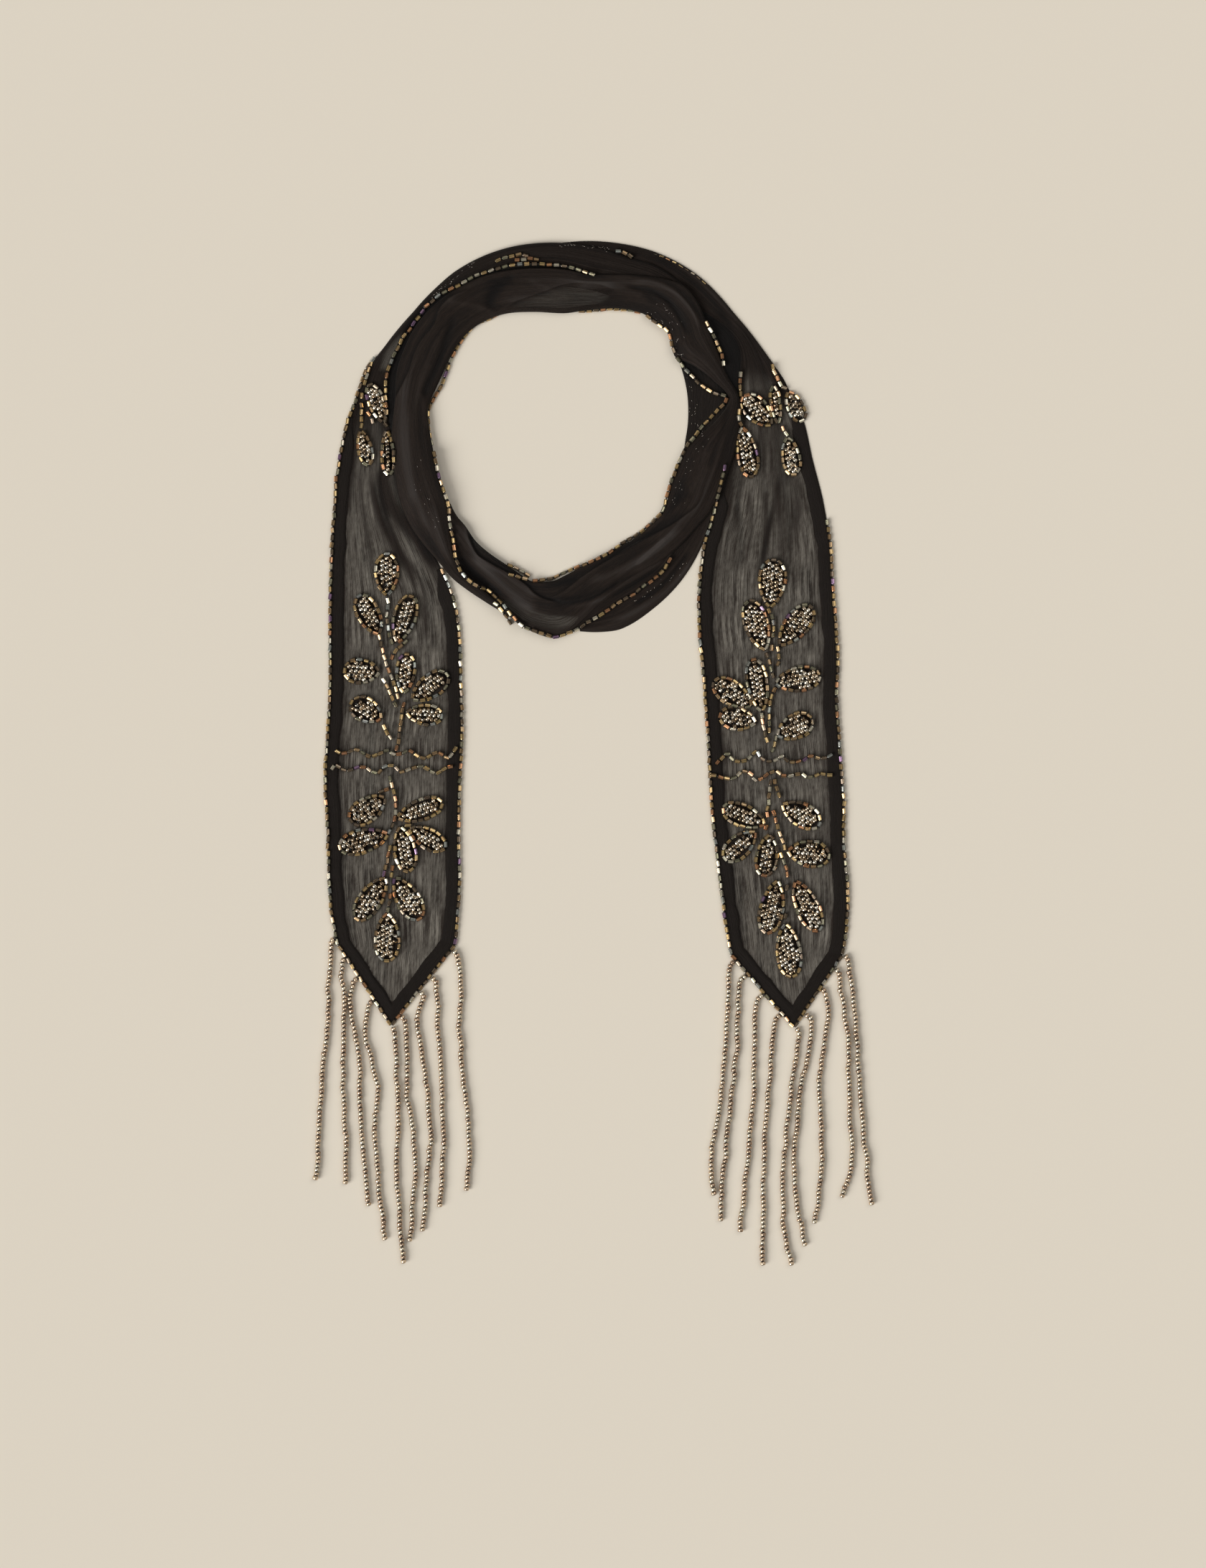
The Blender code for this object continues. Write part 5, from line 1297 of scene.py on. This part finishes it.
def edge_beads(side, tail, point, top_left, top_right):
    left, tip, right = tail_edge(tail, point, top_left, top_right)
    for line in (left, np.vstack([left[-1], tip]), np.vstack([tip, right[0]]), right):
        tube_spots[side + "_edge"].extend(tubes_along(even(line, 0.6), EDGE_PITCH, loose=0.09, least=1.0, reach=0.0))


edge_beads("left", LEFT_TAIL, LEFT_POINT, 196.0, 104.5)
edge_beads("right", RIGHT_TAIL, RIGHT_POINT, 162.0, 134.0)

# Thread stitches that catch the light on the backs of the hems: a line, how
# wide the band of them is, and how many.
STITCHES = [
    ([(587, 432), (610, 408), (635, 387), (662, 366)], 1.1, 34),
    ([(778, 344), (800, 342), (825, 344), (852, 348)], 1.2, 26),
    ([(893, 430), (915, 445), (935, 470), (950, 500)], 3.4, 24),
    ([(915, 420), (938, 450), (955, 485)], 5.0, 16),
    ([(958, 525), (966, 560), (968, 600)], 2.8, 18),
    ([(990, 580), (975, 620), (955, 670), (935, 710)], 5.0, 24),
    ([(955, 780), (935, 805), (905, 825), (885, 840)], 2.4, 22),
    ([(585, 640), (596, 700), (610, 740)], 5.0, 14),
]
stitch_spots = []
for chart, spread, count in STITCHES:
    path = chart_path(chart)
    for _ in range(count):
        k = int(rng.integers(1, len(path) - 1))
        way = path[k + 1] - path[k - 1]
        way = way / np.linalg.norm(way)
        spot = path[k] + np.array([-way[1], way[0]]) * rng.normal(0, spread * 0.5)
        turn_by = rng.normal(0, 0.5)
        way = (way[0] * math.cos(turn_by) - way[1] * math.sin(turn_by), way[0] * math.sin(turn_by) + way[1] * math.cos(turn_by), 0.0)
        height = surface(*spot)
        if height > 0.6:
            stitch_spots.append(((spot[0], spot[1], height + 0.06), way, (rng.uniform(0.25, 0.55), 0.24)))

bead_objects = {}
for side in ("left", "right"):
    bead_objects[side + "_spray_tubes"] = beads(side + "_spray_tubes", TUBE, tube_spots[side], TUBE_TINTS, TUBES)
    bead_objects[side + "_edge_tubes"] = beads(side + "_edge_tubes", TUBE, tube_spots[side + "_edge"], TUBE_TINTS, TUBES)
    bead_objects[side + "_leaf_seeds"] = beads(side + "_leaf_seeds", LEAF_SEED, seed_spots[side], LEAF_TINTS, LEAF_BEADS)
bead_objects["ring_edge_tubes"] = beads("ring_edge_tubes", TUBE, tube_spots["ring"], TUBE_TINTS, TUBES)
bead_objects["bead_links"] = beads("bead_links", LINK, link_spots, LINK_TINTS, THREAD)
bead_objects["hem_stitches"] = beads("hem_stitches", LINK, stitch_spots, STITCH_TINTS, SEEDS)


# -------------------------------------------------------------------- fringe
def strand_path(row, edge_of):
    at = dict(zip(STRAND_COLUMNS, row))
    marks = [(0.0, 0.0)] + [(t, at["sway_%d" % (i + 1)]) for i, t in enumerate(SWAY_AT)] + [(1.0, 0.0)]
    start, end = np.array([at["x_top"], at["y_top"]]), np.array([at["x_end"], at["y_end"]])
    length = np.linalg.norm(end - start)
    way = (end - start) / length
    side = np.array([-way[1], way[0]])
    t = np.linspace(0, 1, 400)
    sway = column(marks, ("t", "sway"), "t", "sway", t)
    own = row[0] * 1.7
    sway = sway + ease(0, 0.08, t) * (0.75 * noise(t * length / 9.0 + own, own, 81) + 0.45 * noise(t * length / 4.5 + own, own, 82))
    path = start + way * (t * length)[:, None] + side * sway[:, None] + np.array([SHIFT_X, SHIFT_Y])
    left, tip, right = tail_edge(*edge_of, 0.0, 0.0)
    edge = even(np.vstack([left, tip, right]), 0.3)
    near = edge[np.argmin(np.hypot(*(edge - path[0]).T))]
    gap = near - path[0]
    far = np.linalg.norm(gap)
    if far < 1.4:
        return path
    return np.vstack([path[0] + gap * (1 - 1.2 / far), path])


def fringe(side):
    spots, verts, faces = [], [], []
    for row in STRANDS[side]:
        path = strand_path(row, (LEFT_TAIL, LEFT_POINT) if side == "left" else (RIGHT_TAIL, RIGHT_POINT))
        d = np.concatenate([[0], np.cumsum(np.linalg.norm(np.diff(path, axis=0), axis=1))])
        count = int(d[-1] / STRAND_PITCH)
        for k in range(count):
            s = (k + 0.5) * d[-1] / count
            a = np.array([np.interp(s - 1.0, d, path[:, i]) for i in (0, 1)])
            b = np.array([np.interp(s + 1.0, d, path[:, i]) for i in (0, 1)])
            mid = (a + b) / 2
            way = (b - a) / np.linalg.norm(b - a)
            turn_by = rng.normal(0, 0.10)
            way = np.array([way[0] * math.cos(turn_by) - way[1] * math.sin(turn_by), way[0] * math.sin(turn_by) + way[1] * math.cos(turn_by)])
            mid = mid + np.array([-way[1], way[0]]) * rng.normal(0, 0.12)
            size = 1.06 + rng.normal(0, 0.035)
            lean = rng.normal(0, 0.05)
            spots.append(((mid[0], mid[1], 1.4 * size + abs(lean) * 1.1), (way[0], way[1], lean), (1.0 + rng.normal(0, 0.06), size)))
        line = path[::8]
        base = len(verts)
        for i, (x, y) in enumerate(line):
            p, q = line[max(0, i - 1)], line[min(len(line) - 1, i + 1)]
            nx, ny = -(q - p)[1], (q - p)[0]
            run = math.hypot(nx, ny)
            for k in range(6):
                a = 2 * math.pi * k / 6
                verts.append((x + nx / run * 0.42 * math.cos(a), y + ny / run * 0.42 * math.cos(a), 1.4 + 0.42 * math.sin(a)))
            if i:
                for k in range(6):
                    m = (k + 1) % 6
                    o = base + (i - 1) * 6
                    faces.append((o + k, o + m, o + 6 + m, o + 6 + k))
        faces.append(tuple(base + k for k in range(6))[::-1])
        faces.append(tuple(base + (len(line) - 1) * 6 + k for k in range(6)))
    strands = beads(side + "_fringe_seeds", SEED, spots, SEED_TINTS, SEEDS)
    mesh = bpy.data.meshes.new(side + "_fringe_thread")
    mesh.from_pydata([(x * MM, y * MM, z * MM) for x, y, z in verts], [], faces)
    mesh.shade_smooth()
    mesh.materials.append(THREAD)
    thread = bpy.data.objects.new(side + "_fringe_thread", mesh)
    bpy.context.scene.collection.objects.link(thread)
    return strands, thread


left_fringe, left_thread = fringe("left")
right_fringe, right_thread = fringe("right")

# ---------------------------------------------------- what stands for what
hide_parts("left_tail_panel", "outer_turn_top_left")
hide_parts("right_tail_panel", "outer_turn_top_right")
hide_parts("left_tail_border")
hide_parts("right_tail_border")
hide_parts("inner_turn_left", "inner_turn_right", "under_turn_bottom_left")
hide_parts("outer_turn_bottom_right")
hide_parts("ring_core")
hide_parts(*["left_strand_%d" % k for k in range(1, 10)])
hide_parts(*["right_strand_%d" % k for k in range(1, 10)])

pieces = cloth + [left_fringe, right_fringe, left_thread, right_thread] + list(bead_objects.values())
for piece in pieces:
    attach(piece, "root")


def area_of(obj):
    return sum(p.area for p in obj.data.polygons)


for piece in cloth:
    print("AREA", piece.name, round(area_of(piece) * 1e6, 1), "mm2", len(piece.data.polygons))
print("BEADS", {k: len(o.data.polygons) * 2 for k, o in bead_objects.items()}, len(left_fringe.data.polygons) * 2)

# ------------------------------------------------------- camera, floor, light
scene = bpy.context.scene
camera = bpy.data.objects.new("camera", bpy.data.cameras.new("camera"))
camera.location = (0.005204, -0.016964, 2.5)
camera.data.sensor_width = 36.0
camera.data.lens = 36.0 * 2.5 / 0.8736
camera.data.clip_end = 50.0
scene.collection.objects.link(camera)
scene.camera = camera

floor_mesh = bpy.data.meshes.new("floor")
floor_mesh.from_pydata([(-9, -9, -0.0001), (9, -9, -0.0001), (9, 9, -0.0001), (-9, 9, -0.0001)], [], [(0, 1, 2, 3)])
floor = bpy.data.objects.new("floor", floor_mesh)
scene.collection.objects.link(floor)
mat, nodes, links, shader = node_tree("pale_floor")
shader.inputs["Base Color"].default_value = (0.72, 0.655, 0.55, 1.0)
shader.inputs["Roughness"].default_value = 0.9
shader.inputs["Specular IOR Level"].default_value = 0.1
floor_mesh.materials.append(mat)


def soft_light(name, towards, strength, spread):
    """A broad soft source far away, shining along a direction."""
    light = bpy.data.lights.new(name, "SUN")
    light.energy = strength
    light.angle = math.radians(spread)
    obj = bpy.data.objects.new(name, light)
    obj.location = Vector(towards) * -3.0
    obj.rotation_euler = Vector(towards).to_track_quat("-Z", "Y").to_euler()
    scene.collection.objects.link(obj)
    return obj


soft_light("key", (0.66, 0.42, -0.60), 3.12, 42)
soft_light("fill", (-0.45, -0.35, -0.82), 0.75, 50)
world = bpy.data.worlds.new("studio")
scene.world = world
world.use_nodes = True
world.node_tree.nodes["Background"].inputs["Color"].default_value = (1.0, 0.98, 0.95, 1.0)
world.node_tree.nodes["Background"].inputs["Strength"].default_value = 0.19
scene.view_settings.view_transform = "Standard"
scene.view_settings.look = "None"
